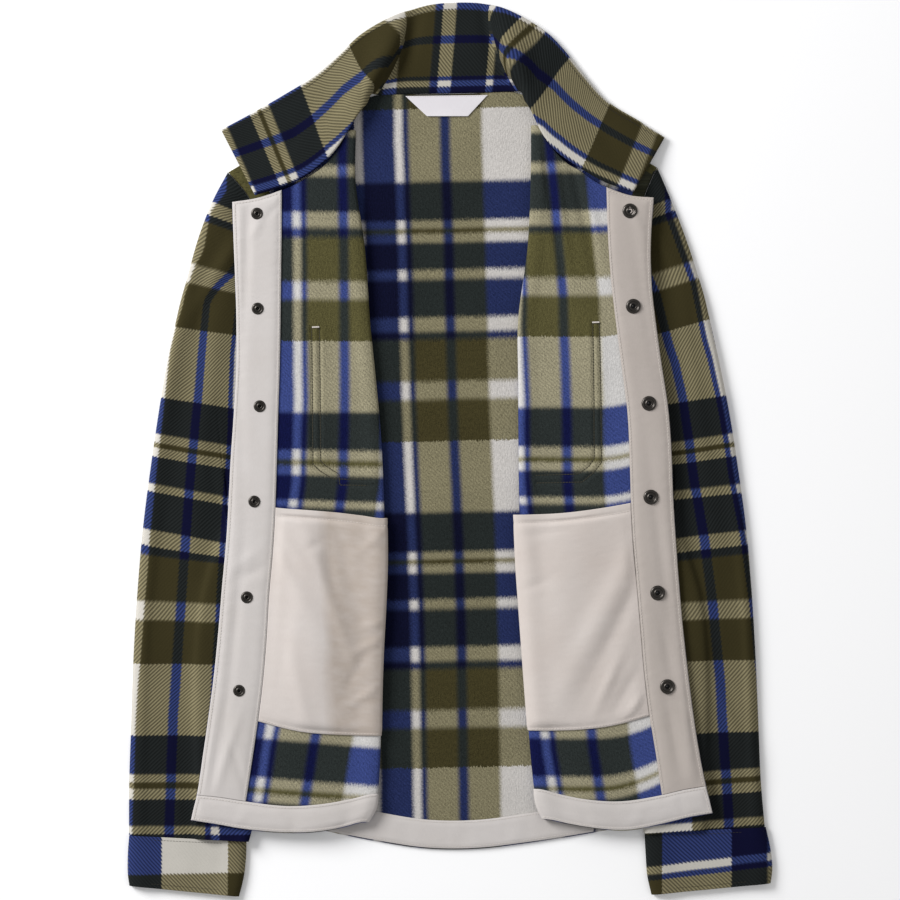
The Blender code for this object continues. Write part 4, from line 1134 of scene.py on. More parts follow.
class Graph:
    """A node tree being filled, with short calls for the nodes that the finishes use."""

    def __init__(self, tree: bpy.types.NodeTree) -> None:
        """Keep the tree.

        Args:
            tree: The node tree to fill.
        """
        self.tree = tree

    def node(self, kind: str) -> bpy.types.Node:
        """Add a node of a kind."""
        return self.tree.nodes.new(kind)

    def feed(self, socket: bpy.types.NodeSocket, value: Value) -> None:
        """Link a socket to another, or set its value.

        Args:
            socket: The input socket.
            value: An output socket, or a constant.
        """
        if isinstance(value, bpy.types.NodeSocket):
            self.tree.links.new(value, socket)
        else:
            socket.default_value = value

    def math(self, operation: str, *values: Value, clamp: bool = False) -> bpy.types.NodeSocket:
        """Add a Math node.

        Args:
            operation: Blender's name of the operation.
            values: Its inputs.
            clamp: Whether the result stays between 0 and 1.

        Returns:
            The result's socket.
        """
        node = self.node("ShaderNodeMath")
        node.operation = operation
        node.use_clamp = clamp
        for socket, value in zip(node.inputs, values):
            self.feed(socket, value)
        return node.outputs[0]

    def times(self, first: Value, second: Value) -> bpy.types.NodeSocket:
        """Multiply two values."""
        return self.math("MULTIPLY", first, second)

    def plus(self, first: Value, second: Value) -> bpy.types.NodeSocket:
        """Add two values."""
        return self.math("ADD", first, second)

    def less(self, first: Value, second: Value) -> bpy.types.NodeSocket:
        """Take the second value from the first."""
        return self.math("SUBTRACT", first, second)

    def scaled(self, value: Value, factor: Value, offset: Value,
               clamp: bool = False) -> bpy.types.NodeSocket:
        """Multiply a value by a factor and add an offset."""
        return self.math("MULTIPLY_ADD", value, factor, offset, clamp=clamp)

    def mix(self, factor: Value, first: Value, second: Value) -> bpy.types.NodeSocket:
        """Mix two colours by a factor."""
        node = self.node("ShaderNodeMix")
        node.data_type = "RGBA"
        self.feed(node.inputs[0], factor)
        self.feed(node.inputs[6], first)
        self.feed(node.inputs[7], second)
        return node.outputs[2]

    def shade(self, colour: Value, factor: Value) -> bpy.types.NodeSocket:
        """Multiply a colour by a value."""
        node = self.node("ShaderNodeVectorMath")
        node.operation = "SCALE"
        self.feed(node.inputs[0], colour)
        self.feed(node.inputs["Scale"], factor)
        return node.outputs[0]

    def place(self, x: Value, y: Value, z: Value = 0.0) -> bpy.types.NodeSocket:
        """Combine three values into a place."""
        node = self.node("ShaderNodeCombineXYZ")
        for socket, value in zip(node.inputs, (x, y, z)):
            self.feed(socket, value)
        return node.outputs[0]

    def noise(self, place: Value, grain: Grain) -> bpy.types.NodeSocket:
        """Smooth noise around 0.5 at a place.

        Args:
            place: Vector socket that it is read at.
            grain: Its grain.

        Returns:
            The noise's value.
        """
        node = self.node("ShaderNodeTexNoise")
        self.feed(node.inputs["Vector"], place)
        node.inputs["Scale"].default_value = grain.scale
        node.inputs["Detail"].default_value = grain.detail
        node.inputs["Roughness"].default_value = grain.roughness
        return node.outputs["Fac"]

    def stripes(self, coordinate: Value, repeat: Sequence[tuple[Yarn, float]],
                soft: float) -> bpy.types.NodeSocket:
        """Share of each yarn at a coordinate: red for white, green for navy, blue for olive.

        Args:
            coordinate: Place across the stripes, in metres.
            repeat: Yarn and width of each stripe, in pixels of the photograph.
            soft: Width over which one stripe passes into the next, in the same pixels.

        Returns:
            The mask's colour.
        """
        whole = sum(width for _, width in repeat)
        turn = self.math("FRACT", self.math("DIVIDE", coordinate, whole * PIXEL * MM))
        node = self.node("ShaderNodeValToRGB")
        self.feed(node.inputs[0], turn)
        node.color_ramp.interpolation = "LINEAR"
        stops = node.color_ramp.elements
        place, marks = 0.0, []
        for yarn, width in repeat:
            colour = tuple(1.0 if k == yarn.value else 0.0 for k in range(3)) + (1.0,)
            inset = min(soft, 0.9 * width) / 2
            marks += [(place + inset, colour), (place + width - inset, colour)]
            place += width
        for index, (mark, colour) in enumerate(marks):
            stop = stops[index] if index < 2 else stops.new(mark / whole)
            stop.position = mark / whole
            stop.color = colour
        return node.outputs[0]

    def total(self, first: Value, second: Value) -> bpy.types.NodeSocket:
        """Add two vectors or colours."""
        node = self.node("ShaderNodeVectorMath")
        self.feed(node.inputs[0], first)
        self.feed(node.inputs[1], second)
        return node.outputs[0]


def new_group(name: str, inputs: Sequence[tuple[str, str, object]],
              outputs: Sequence[tuple[str, str]]) -> tuple[bpy.types.NodeTree, Graph]:
    """Make a shader node group with named sockets.

    Args:
        name: The group's name.
        inputs: Name, socket type and default of each input.
        outputs: Name and socket type of each output.

    Returns:
        The group and a graph to fill it.
    """
    tree = bpy.data.node_groups.new(name, "ShaderNodeTree")
    for label, kind, default in inputs:
        socket = tree.interface.new_socket(label, in_out="INPUT", socket_type=kind)
        socket.default_value = default
    for label, kind in outputs:
        tree.interface.new_socket(label, in_out="OUTPUT", socket_type=kind)
    tree.nodes.new("NodeGroupInput")
    tree.nodes.new("NodeGroupOutput")
    return tree, Graph(tree)


def ends(tree: bpy.types.NodeTree) -> tuple[bpy.types.Node, bpy.types.Node]:
    """The input and output nodes of a group."""
    return tree.nodes["Group Input"], tree.nodes["Group Output"]


def plaid_group(label: str, soft: float) -> bpy.types.NodeTree:
    """The plaid's weave: colour and relief from warp and weft coordinates.

    Args:
        label: The group's name.
        soft: Width over which one stripe passes into the next, in pixels of the photograph.

    Returns:
        The node group.
    """
    names = ("White", "Navy", "Olive", "White Navy", "White Olive", "Navy Olive")
    grey = (0.5, 0.5, 0.5, 1.0)
    tree, g = new_group(
        label,
        [("Warp", "NodeSocketFloat", 0.0), ("Weft", "NodeSocketFloat", 0.0),
         ("Brushed", "NodeSocketFloat", 0.0), ("Rib Contrast", "NodeSocketFloat", 1.0)]
        + [(name, "NodeSocketColor", grey) for name in names],
        [("Color", "NodeSocketColor"), ("Height", "NodeSocketFloat")])
    into, out = ends(tree)
    warp, weft = into.outputs["Warp"], into.outputs["Weft"]
    brushed = into.outputs["Brushed"]
    period = TWILL_PERIOD * MM

    # Fibres lie down the cloth in uneven tufts; a slow wander keeps the lines from ruling straight
    flat = g.place(warp, weft)
    wander = g.less(g.noise(flat, WANDER), 0.5)
    tuft = g.noise(g.place(warp, g.times(weft, TUFT_STRETCH)), TUFT)
    side = g.noise(g.place(g.times(warp, SIDE_STRETCH), weft), SIDE_FIBRE)
    hair = g.noise(flat, HAIR)
    phase = g.math("DIVIDE", g.less(warp, weft), period)
    phase = g.plus(phase, g.times(wander, WANDER_TURNS))
    wave = g.math("SINE", g.times(phase, 2 * math.pi))
    thread = g.noise(g.place(g.times(g.plus(warp, weft), THREAD_STRETCH), phase), THREAD_GRAIN)

    # Stripe edges: stepped by the twill on the crisp face, feathered on the brushed one
    crisp = g.less(1.0, brushed)
    step = g.times(g.times(wave, crisp), TWILL_STEP)
    across = g.times(g.less(side, 0.5), g.scaled(brushed, *FRAY_ACROSS))
    along = g.times(g.less(tuft, 0.5), g.scaled(brushed, *FRAY_ALONG))
    blur = g.times(g.less(hair, 0.5), g.scaled(brushed, *FRAY_HAIR))
    drift = g.times(wander, WANDER_REACH)
    warp_at = g.plus(g.plus(warp, step), g.plus(across, blur))
    weft_at = g.plus(g.less(weft, step), g.plus(along, blur))
    warp_at = g.plus(warp_at, drift)
    weft_at = g.plus(weft_at, drift)
    one = g.node("ShaderNodeSeparateXYZ")
    g.feed(one.inputs[0], g.stripes(warp_at, WARP_STRIPES, soft))
    two = g.node("ShaderNodeSeparateXYZ")
    g.feed(two.inputs[0], g.stripes(weft_at, WEFT_STRIPES, soft))
    same = [g.times(one.outputs[k], two.outputs[k]) for k in range(3)]
    white = g.plus(one.outputs[0], two.outputs[0])
    cells = list(zip(same, names[:3]))
    for (k, n), name in zip(((0, 1), (0, 2), (1, 2)), names[3:]):
        other = g.times(one.outputs[k], two.outputs[n])
        share = g.scaled(one.outputs[n], two.outputs[k], other)
        cells.append((share, name))
    colour = g.shade(into.outputs[cells[0][1]], cells[0][0])
    for share, name in cells[1:]:
        colour = g.total(colour, g.shade(into.outputs[name], share))

    # Mixed cells show the twill's lines of the two yarns, strongest where one of them is white
    mixed = g.less(1.0, g.plus(g.plus(same[0], same[1]), same[2]))
    light = g.scaled(white, *WHITE_LINES)
    contrast = g.times(g.times(mixed, light), into.outputs["Rib Contrast"])
    contrast = g.times(contrast, g.scaled(thread, *THREAD_LINES))
    line = g.times(g.times(contrast, wave), g.scaled(brushed, *LINE_TONE))
    speck = g.times(g.less(hair, 0.5), g.scaled(brushed, *SPECK_TONE))
    speck = g.times(speck, g.scaled(same[0], *WHITE_SPECKS))
    lying = g.times(g.less(tuft, 0.5), g.scaled(brushed, *TUFT_TONE))
    mottle = g.less(g.noise(flat, MOTTLE), 0.5)
    lying = g.scaled(mottle, g.scaled(brushed, *MOTTLE_TONE), lying)
    cloud = g.times(g.less(g.noise(flat, CLOUD), 0.5), CLOUD_TONE)
    lying = g.times(lying, g.scaled(same[0], *WHITE_TUFTS))
    tone = g.plus(g.plus(line, speck), g.plus(lying, g.plus(cloud, 1.0)))
    g.feed(out.inputs["Color"], g.shade(colour, g.math("MAXIMUM", tone, DARKEST_TONE)))

    rib = g.times(wave, g.scaled(brushed, *RIB_RELIEF))
    rib = g.times(rib, g.scaled(mixed, *MIXED_RIBS))
    nap = g.times(tuft, g.scaled(brushed, *NAP_RELIEF))
    g.feed(out.inputs["Height"], g.plus(rib, g.plus(nap, g.times(hair, HAIR_RELIEF))))
    return tree


def cotton_group() -> bpy.types.NodeTree:
    """Plain cotton weave with soft puckers: colour and relief from cloth coordinates, and painted
    shade past a slanting line.
    """
    tree, g = new_group(
        "cotton weave",
        [("Warp", "NodeSocketFloat", 0.0), ("Weft", "NodeSocketFloat", 0.0),
         ("Cloth", "NodeSocketColor", (0.8, 0.8, 0.8, 1.0)),
         ("Shade", "NodeSocketColor", (0.6, 0.6, 0.6, 1.0)),
         ("Painted Shade", "NodeSocketColor", (0.5, 0.5, 0.5, 1.0)),
         ("Painted Shade From", "NodeSocketFloat", 9.0),
         ("Threads", "NodeSocketFloat", 0.55 * MM)],
        [("Color", "NodeSocketColor"), ("Height", "NodeSocketFloat")])
    into, out = ends(tree)
    warp, weft = into.outputs["Warp"], into.outputs["Weft"]
    flat = g.place(warp, weft)
    over = g.math("SINE", g.times(g.math("DIVIDE", warp, into.outputs["Threads"]), 2 * math.pi))
    under = g.math("SINE", g.times(g.math("DIVIDE", weft, into.outputs["Threads"]), 2 * math.pi))
    weave = g.times(over, under)
    slub = g.noise(g.place(g.times(warp, 6.0), weft), SLUB)
    broad = g.noise(flat, BROAD)
    pucker = g.noise(g.place(warp, g.times(weft, 2.2)), PUCKER)
    colour = g.mix(g.scaled(broad, 1.6, -0.3, clamp=True), into.outputs["Cloth"],
                   into.outputs["Shade"])
    # Past a slanting line the cloth takes a darker, warmer colour: painted shade where the cloth falls
    # from its broad ridge towards the fold
    shade_line = g.scaled(weft, -0.07, g.scaled(pucker, 5.0 * MM, warp))
    shade_line = g.scaled(broad, 14.0 * MM, shade_line)
    painted_shade = g.math("DIVIDE", g.less(shade_line, into.outputs["Painted Shade From"]), 11.0 * MM, clamp=True)
    painted_shade = g.times(painted_shade, g.scaled(pucker, -0.9, 1.3, clamp=True))
    colour = g.mix(painted_shade, colour, into.outputs["Painted Shade"])
    tone = g.plus(g.times(weave, 0.03), g.scaled(slub, 0.08, 0.96))
    g.feed(out.inputs["Color"], g.shade(colour, tone))
    height = g.plus(g.times(weave, 0.06), g.times(slub, 0.1))
    g.feed(out.inputs["Height"], g.plus(height, g.times(pucker, 0.9)))
    return tree


def wear_group() -> bpy.types.NodeTree:
    """Fine handling marks on metal: a mask and a relief from the place on the piece."""
    tree, g = new_group(
        "fine wear", [("Grain", "NodeSocketFloat", 1.0)],
        [("Mask", "NodeSocketFloat"), ("Height", "NodeSocketFloat")])
    into, out = ends(tree)
    place = g.node("ShaderNodeTexCoord").outputs["Object"]
    rubbed = g.times(g.noise(place, RUBBED), into.outputs["Grain"])
    g.feed(out.inputs["Mask"], rubbed)
    g.feed(out.inputs["Height"], g.noise(place, PITS))
    return tree


def dressed(name: str, group: bpy.types.NodeTree, values: dict[str, object], relief: float,
            settings: dict[str, object]) -> bpy.types.Material:
    """A cloth material: a weave group on cloth coordinates feeding one Principled shader.

    Args:
        name: The material's name.
        group: The weave group.
        values: Values of the group's inputs.
        relief: Depth of the weave's relief, in metres.
        settings: Values of the shader's own sockets.

    Returns:
        The material.
    """
    material = bpy.data.materials.new(name)
    material.use_nodes = True
    g = Graph(material.node_tree)
    shader = material.node_tree.nodes["Principled BSDF"]
    coordinates = g.node("ShaderNodeUVMap")
    coordinates.uv_map = "cloth"
    parts = g.node("ShaderNodeSeparateXYZ")
    g.feed(parts.inputs[0], coordinates.outputs[0])
    weave = g.node("ShaderNodeGroup")
    weave.node_tree = group
    for label, value in values.items():
        weave.inputs[label].default_value = value
    g.feed(weave.inputs["Warp"], parts.outputs[0])
    g.feed(weave.inputs["Weft"], parts.outputs[1])
    bump = g.node("ShaderNodeBump")
    bump.inputs["Strength"].default_value = 1.0
    bump.inputs["Distance"].default_value = relief
    g.feed(bump.inputs["Height"], weave.outputs["Height"])
    g.feed(shader.inputs["Normal"], bump.outputs[0])
    g.feed(shader.inputs["Base Color"], weave.outputs["Color"])
    for label, value in settings.items():
        shader.inputs[label].default_value = value
    return material


@dataclass(frozen=True)
class PlaidFinish:
    """Plaid fleece: its six cell colours, and how brushed its face is."""

    name: str
    white: Colour
    navy: Colour
    olive: Colour
    white_navy: Colour
    white_olive: Colour
    navy_olive: Colour
    brushed: float
    contrast: float

    def material(self, group: bpy.types.NodeTree) -> bpy.types.Material:
        """The finish as a material on the weave group."""
        colours = {"White": self.white, "Navy": self.navy, "Olive": self.olive,
                   "White Navy": self.white_navy, "White Olive": self.white_olive,
                   "Navy Olive": self.navy_olive}
        values = {label: linear(colour) for label, colour in colours.items()}
        values.update({"Brushed": self.brushed, "Rib Contrast": self.contrast})
        settings = {"Roughness": 1.0, "Sheen Weight": 0.02, "Sheen Roughness": 0.5,
                    "Specular IOR Level": 0.04}
        return dressed(self.name, group, values, 0.35 * MM, settings)


@dataclass(frozen=True)
class CottonFinish:
    """Plain woven cotton or satin in one colour, with the colour of its soft shade."""

    name: str
    cloth: Colour
    shade: Colour
    threads: float
    roughness: float
    relief: float
    # A darker colour, and the place along the warp in millimetres past which it is painted on: painted
    # shade
    painted_shade: Colour = (180, 168, 158)
    painted_shade_from: float = 9000.0

    def material(self, group: bpy.types.NodeTree) -> bpy.types.Material:
        """The finish as a material on the cotton group."""
        values = {"Cloth": linear(self.cloth), "Shade": linear(self.shade),
                  "Threads": self.threads * MM, "Painted Shade": linear(self.painted_shade),
                  "Painted Shade From": self.painted_shade_from * MM}
        settings = {"Roughness": self.roughness, "Specular IOR Level": 0.25}
        return dressed(self.name, group, values, self.relief * MM, settings)


@dataclass(frozen=True)
class PlainFinish:
    """Metal or thread: one colour, darker where the wear mask says."""

    name: str
    colour: Colour
    worn: Colour
    roughness: float
    metallic: float
    grain: float
    relief: float

    def material(self, group: bpy.types.NodeTree) -> bpy.types.Material:
        """The finish as a material on the wear group."""
        material = bpy.data.materials.new(self.name)
        material.use_nodes = True
        g = Graph(material.node_tree)
        shader = material.node_tree.nodes["Principled BSDF"]
        wear = g.node("ShaderNodeGroup")
        wear.node_tree = group
        wear.inputs["Grain"].default_value = self.grain
        g.feed(shader.inputs["Base Color"],
               g.mix(wear.outputs["Mask"], linear(self.colour), linear(self.worn)))
        g.feed(shader.inputs["Roughness"], g.scaled(wear.outputs["Mask"], 0.2, self.roughness))
        bump = g.node("ShaderNodeBump")
        bump.inputs["Distance"].default_value = self.relief * MM
        g.feed(bump.inputs["Height"], wear.outputs["Height"])
        g.feed(shader.inputs["Normal"], bump.outputs[0])
        shader.inputs["Metallic"].default_value = self.metallic
        return material


OUTER_FACE = PlaidFinish("plaid outer face", (192, 188, 180), (13, 14, 42), (54, 49, 29),
                         (43, 54, 98), (115, 108, 83), (30, 33, 33), 0.0, 1.05)
FRONT_INSIDE = PlaidFinish("plaid front inside", (202, 200, 198), (16, 20, 60), (83, 79, 49),
                           (57, 70, 125), (148, 142, 118), (43, 48, 47), 1.0, 0.8)
# The back's inside is the same brushed face as the fronts' inside, in darker colours: painted shade
BACK_INSIDE_PAINTED_SHADE = PlaidFinish("plaid back inside with painted shade", (196, 192, 188), (13, 15, 38), (62, 57, 34),
                          (36, 45, 83), (126, 120, 95), (36, 41, 40), 1.0, 0.8)
FACING = CottonFinish("facing cotton", (204, 199, 197), (195, 189, 185), 0.6, 0.85, 0.25)
# The left front's facing: the same cotton as the facing above in a darker colour, painted shade as if
# it lay turned from the light
FACING_PAINTED_SHADE = CottonFinish("facing cotton with painted shade", (184, 175, 169),
                             (176, 167, 160), 0.6, 0.85, 0.25)
BAG = CottonFinish("pocket bag cotton", (208, 200, 195), (196, 185, 178), 0.5, 0.8, 0.35)
# The right pocket bag's cotton, with painted shade past a slanting line on the lee side of its broad
# ridge
BAG_PAINTED_SHADE = CottonFinish("pocket bag cotton with painted shade", (210, 203, 199), (200, 190, 184), 0.5, 0.8,
                          0.35, painted_shade=(184, 172, 162), painted_shade_from=71.0)
LABEL = CottonFinish("label satin", (222, 219, 222), (214, 210, 215), 0.35, 0.5, 0.1)
SNAP = PlainFinish("gunmetal", (92, 88, 84), (44, 42, 40), 0.24, 1.0, 0.9, 0.01)
# Near-black colour on the well inside each snap's hole: painted shade of the hole
SNAP_HOLE_SHADE = PlainFinish("snap hole painted shade", (14, 13, 13), (7, 7, 7), 0.4, 0.6, 1.0, 0.02)
THREAD = PlainFinish("cotton thread", (222, 216, 210), (204, 196, 188), 0.8, 0.0, 1.0, 0.05)
KHAKI_THREAD = PlainFinish("khaki thread", (70, 66, 50), (46, 44, 34), 0.85, 0.0, 1.0, 0.05)
NAVY_THREAD = PlainFinish("navy thread", (20, 22, 34), (12, 13, 22), 0.85, 0.0, 1.0, 0.05)
FLOOR = PlainFinish("pale floor", (251, 251, 252), (253, 253, 254), 0.95, 0.0, 1.0, 0.005)


@dataclass
class Wardrobe:
    """The finishes, made once and shared by the pieces."""

    outer: bpy.types.Material
    front: bpy.types.Material
    # the inside plaid in darker colours for the back: painted shade
    back: bpy.types.Material
    facing: bpy.types.Material
    facing_painted_shade: bpy.types.Material
    bag: bpy.types.Material
    bag_painted_shade: bpy.types.Material
    label: bpy.types.Material
    snap: bpy.types.Material
    snap_hole_shade: bpy.types.Material
    thread: bpy.types.Material
    khaki: bpy.types.Material
    navy: bpy.types.Material
    floor: bpy.types.Material

    @classmethod
    def made(cls) -> "Wardrobe":
        """Build the node groups and every finish on them."""
        crisp, brushed = plaid_group("plaid crisp", 0.8), plaid_group("plaid brushed", 4.6)
        cotton, wear = cotton_group(), wear_group()
        return cls(OUTER_FACE.material(crisp), FRONT_INSIDE.material(brushed),
                   BACK_INSIDE_PAINTED_SHADE.material(brushed), FACING.material(cotton),
                   FACING_PAINTED_SHADE.material(cotton), BAG.material(cotton),
                   BAG_PAINTED_SHADE.material(cotton), LABEL.material(cotton), SNAP.material(wear),
                   SNAP_HOLE_SHADE.material(wear),
                   THREAD.material(wear), KHAKI_THREAD.material(wear), NAVY_THREAD.material(wear),
                   FLOOR.material(wear))


def lay_cloth(cloth: Cloth, material: bpy.types.Material, replaces: Sequence[str]) -> bpy.types.Object:
    """Args:
        cloth: The shell.
        material: Its finish.
        replaces: CAD nodes that it stands for.

    Returns:
        The piece.
    """
    piece = add_piece(cloth.name, cloth.mesh(), material, replaces)
    width, length = cloth.size()
    return piece


def sew(name: str, lines: Sequence[tuple[Array, Array]], material: bpy.types.Material,
        length: float = 2.3, pitch: float = 3.0, radius: float = 0.26) -> None:
    """Lay rows of stitches on cloth.

    Args:
        name: The piece's name.
        lines: Points and cloth normals along each seam, in millimetres.
        material: The thread's finish.
        length: Length of a stitch.
        pitch: Distance from one stitch to the next.
        radius: Radius of the thread.
    """
    centres, directions, ups = [], [], []
    for points, normals in lines:
        reach = arc(points)
        at = np.arange(pitch / 2, reach[-1], pitch)
        for place in at:
            way = on_line(place + 0.5, reach, points) - on_line(place - 0.5, reach, points)
            up = on_line(place, reach, normals)
            centres.append(on_line(place, reach, points))
            directions.append(way / np.linalg.norm(way))
            ups.append(up / np.linalg.norm(up))
    mesh = threads_mesh(name, np.array(centres), np.array(directions), np.array(ups),
                        length, radius)
    add_piece(name, mesh, material)


@dataclass
class Back:
    """The back panel, inside up, with its hem facing and the bare neck label."""

    top: Sequence[tuple[float, float]]
    rows: Sequence[BackRow]
    band_ends: tuple[float, float]
    step: float = 4.4

    def underside(self) -> Array:
        """Points of the back's underside."""
        rows = [[(x, y, 0.0) for x, y in self.top]]
        for index, row in enumerate(self.rows):
            if index + 1 < len(ARMHOLE[Side.RIGHT]):
                right_x = ARMHOLE[Side.RIGHT][index + 1][0] + SEAM_GAP
                left_x = ARMHOLE[Side.LEFT][index + 1][0] - SEAM_GAP
            else:
                right_x = side_edge(Side.RIGHT, row.right)
                left_x = side_edge(Side.LEFT, row.left)
            points = []
            for station in BACK_STATIONS:
                x = (right_x + left_x) / 2 + station * (left_x - right_x) / 2
                end = row.right if station < 0 else row.left
                points.append((x, row.middle + (end - row.middle) * abs(station) ** HEM_SWEEP, 0.0))
            rows.append(points)
        return np.array(rows)

    def build(self, wardrobe: Wardrobe) -> None:
        """Lay the back, its hem facing and the label.

        Args:
            wardrobe: The finishes.
        """
        surface = Surface(self.underside())
        first, last = surface.column_place(0), surface.column_place(len(self.top) - 1)
        rows = edged(surface.row_place(0), surface.row_place(len(self.rows)), self.step, FLEECE_LIP)
        columns = edged(first, last, self.step, FLEECE_LIP)
        base = surface.at(rows, columns)
        points = base + (0.0, 0.0, FLEECE)
        points[:, :, 2] += np.clip(crease_height(BACK_CREASES, *plan(points)), *BACK_CREASE_LIMITS)
        warp, weft = BACK_CHART.places(*plan(points))
        cloth = Cloth("back_panel", points, FLEECE, warp, weft, lip=FLEECE_LIP)
        # The back takes the darker copy of the inside plaid: painted shade
        lay_cloth(cloth, wardrobe.back, ["back"])

        every = np.linspace(first, last, HEM_SAMPLES)
        hem = surface.at([surface.row_place(len(self.rows))], every)[0, :, 0]
        first, last = (float(np.interp(x, hem, every)) for x in self.band_ends)
        top = surface.row_place(len(self.rows) - 1)
        bottom = surface.row_place(len(self.rows)) - BAND_HEM_GAP
        rows = finer(edged(top, bottom, BAND_STEPS[0], COTTON_LIP),
                     bottom - BAND_FINE[0], bottom - BAND_FINE[1], FINE_STEP)
        columns = edged(first, last, BAND_STEPS[1], COTTON_LIP)
        points = surface.at(rows, columns) + (0.0, 0.0, FLEECE + SEAM_GAP + COTTON)
        inner = ramp((rows - top) / BAND_BLEND) * ramp((bottom - rows) / BAND_BLEND)
        ripple = BAND_RIPPLE * np.sin(columns * 0.5 + 2.0 * np.sin(columns * 0.13))
        points[:, :, 2] += (inner[:, None] * (BAND_PUFF + ripple[None, :])
                            + crease_height(BAND_CREASES, *plan(points)) * inner[:, None])
        across, along = plan(points * MM)
        band = Cloth("back_hem_band", points, COTTON, across, along, lip=COTTON_LIP)
        lay_cloth(band, wardrobe.facing, ["back_hem_facing"])
        lift = (0.0, 0.0, FLEECE + SEAM_GAP + COTTON + BAND_THREAD_LIFT)
        sewn = []
        for place in (top + BAND_SEAMS[0], bottom - BAND_SEAMS[1]):
            line = surface.at([place], columns)[0] + lift
            sewn.append((line, upright(line)))
        sew("back_hem_stitches", sewn, wardrobe.thread, radius=0.2)
        self._label(wardrobe)

    def _label(self, wardrobe: Wardrobe) -> None:
        """Lay the bare label under the back neck seam, sewn down along its top."""
        left, right, low_right, low_left = (np.array(corner) for corner in LABEL_OUTLINE)
        width, length = LABEL_SIZE
        down = edged(0.0, length, LABEL_STEPS[1], THIN_LIP) / length
        across = edged(0.0, width, LABEL_STEPS[0], THIN_LIP) / width
        v, u = np.meshgrid(down, across, indexing="ij")
        top = left + u[:, :, None] * (right - left)
        low = low_left + u[:, :, None] * (low_right - low_left)
        curl = LABEL_CURL[0] * np.sin(math.pi * u) * v + LABEL_CURL[1] * v ** 4
        points = np.dstack([top + v[:, :, None] * (low - top),
                            FLEECE + SEAM_GAP + LABEL_WALL + LABEL_LIFT + curl])
        warp, weft = plan(points * MM)
        label = Cloth("neck_label_satin", points, LABEL_WALL, warp, weft, lip=THIN_LIP)
        lay_cloth(label, wardrobe.label, ["neck_label"])
        line = points[2] + (0.0, -0.4, 0.05)
        sew("label_stitches", [(line, upright(line))], wardrobe.thread,
            length=1.6, pitch=2.2, radius=0.16)


class Seam(NamedTuple):
    """A row of stitches through a lining, along one of its rows or one of its columns."""

    along_row: bool
    place: float


@dataclass
class Lining:
    """A cotton piece on a front's inside face: where it lies, and how it is sewn and creased."""

    name: str
    node: str
    rows: tuple[float, float]
    columns: tuple[float, float]
    creases: Sequence[Crease]
    seams: Sequence[Seam]
    puff: float
    folded: bool = False
    overhang: float = 0.0

    def rise(self, rows: Array, columns: Array, x: Array, y: Array, up: Array) -> Array:
        """Height of the cotton's face over the fleece.

        Args:
            rows: Places down the front.
            columns: Places along it.
            x: Place across of each point in plan.
            y: Place along of each point in plan.
            up: How far each point faces up, from 0 to 1.

        Returns:
            The height of each point.
        """
        near = np.minimum(rows - self.rows[0], self.rows[1] - rows)[:, None]
        beside = np.minimum(columns - self.columns[0], self.columns[1] - columns)[None, :]
        inner = ramp(near / LINING_BLEND) * ramp(beside / LINING_BLEND)
        drawn = np.ones(np.shape(x))
        pucker = np.zeros(np.shape(x))
        for seam in self.seams:
            if seam.along_row:
                gap, along = rows[:, None] - seam.place, columns[None, :]
            else:
                gap, along = columns[None, :] - seam.place, rows[:, None]
            drawn = drawn * (1 - SEAM_PULL * np.exp(-(gap / PULL_WIDTH) ** 2))
            ripple = np.sin(along * 0.62 + 2.0 * np.sin(along * 0.17 + seam.place))
            pucker = pucker + self.puff * PUCKER_SHARE * ripple * np.exp(-(gap / PUCKER_WIDTH) ** 2)
        own = crease_height(self.creases, x, y) * (EDGE_CREASE + (1 - EDGE_CREASE) * inner)
        loose = (self.puff * (EDGE_PUFF + (1 - EDGE_PUFF) * inner) + pucker * up + own * up) * drawn
        return SEAM_GAP + COTTON + np.clip(loose, 0.0, None)


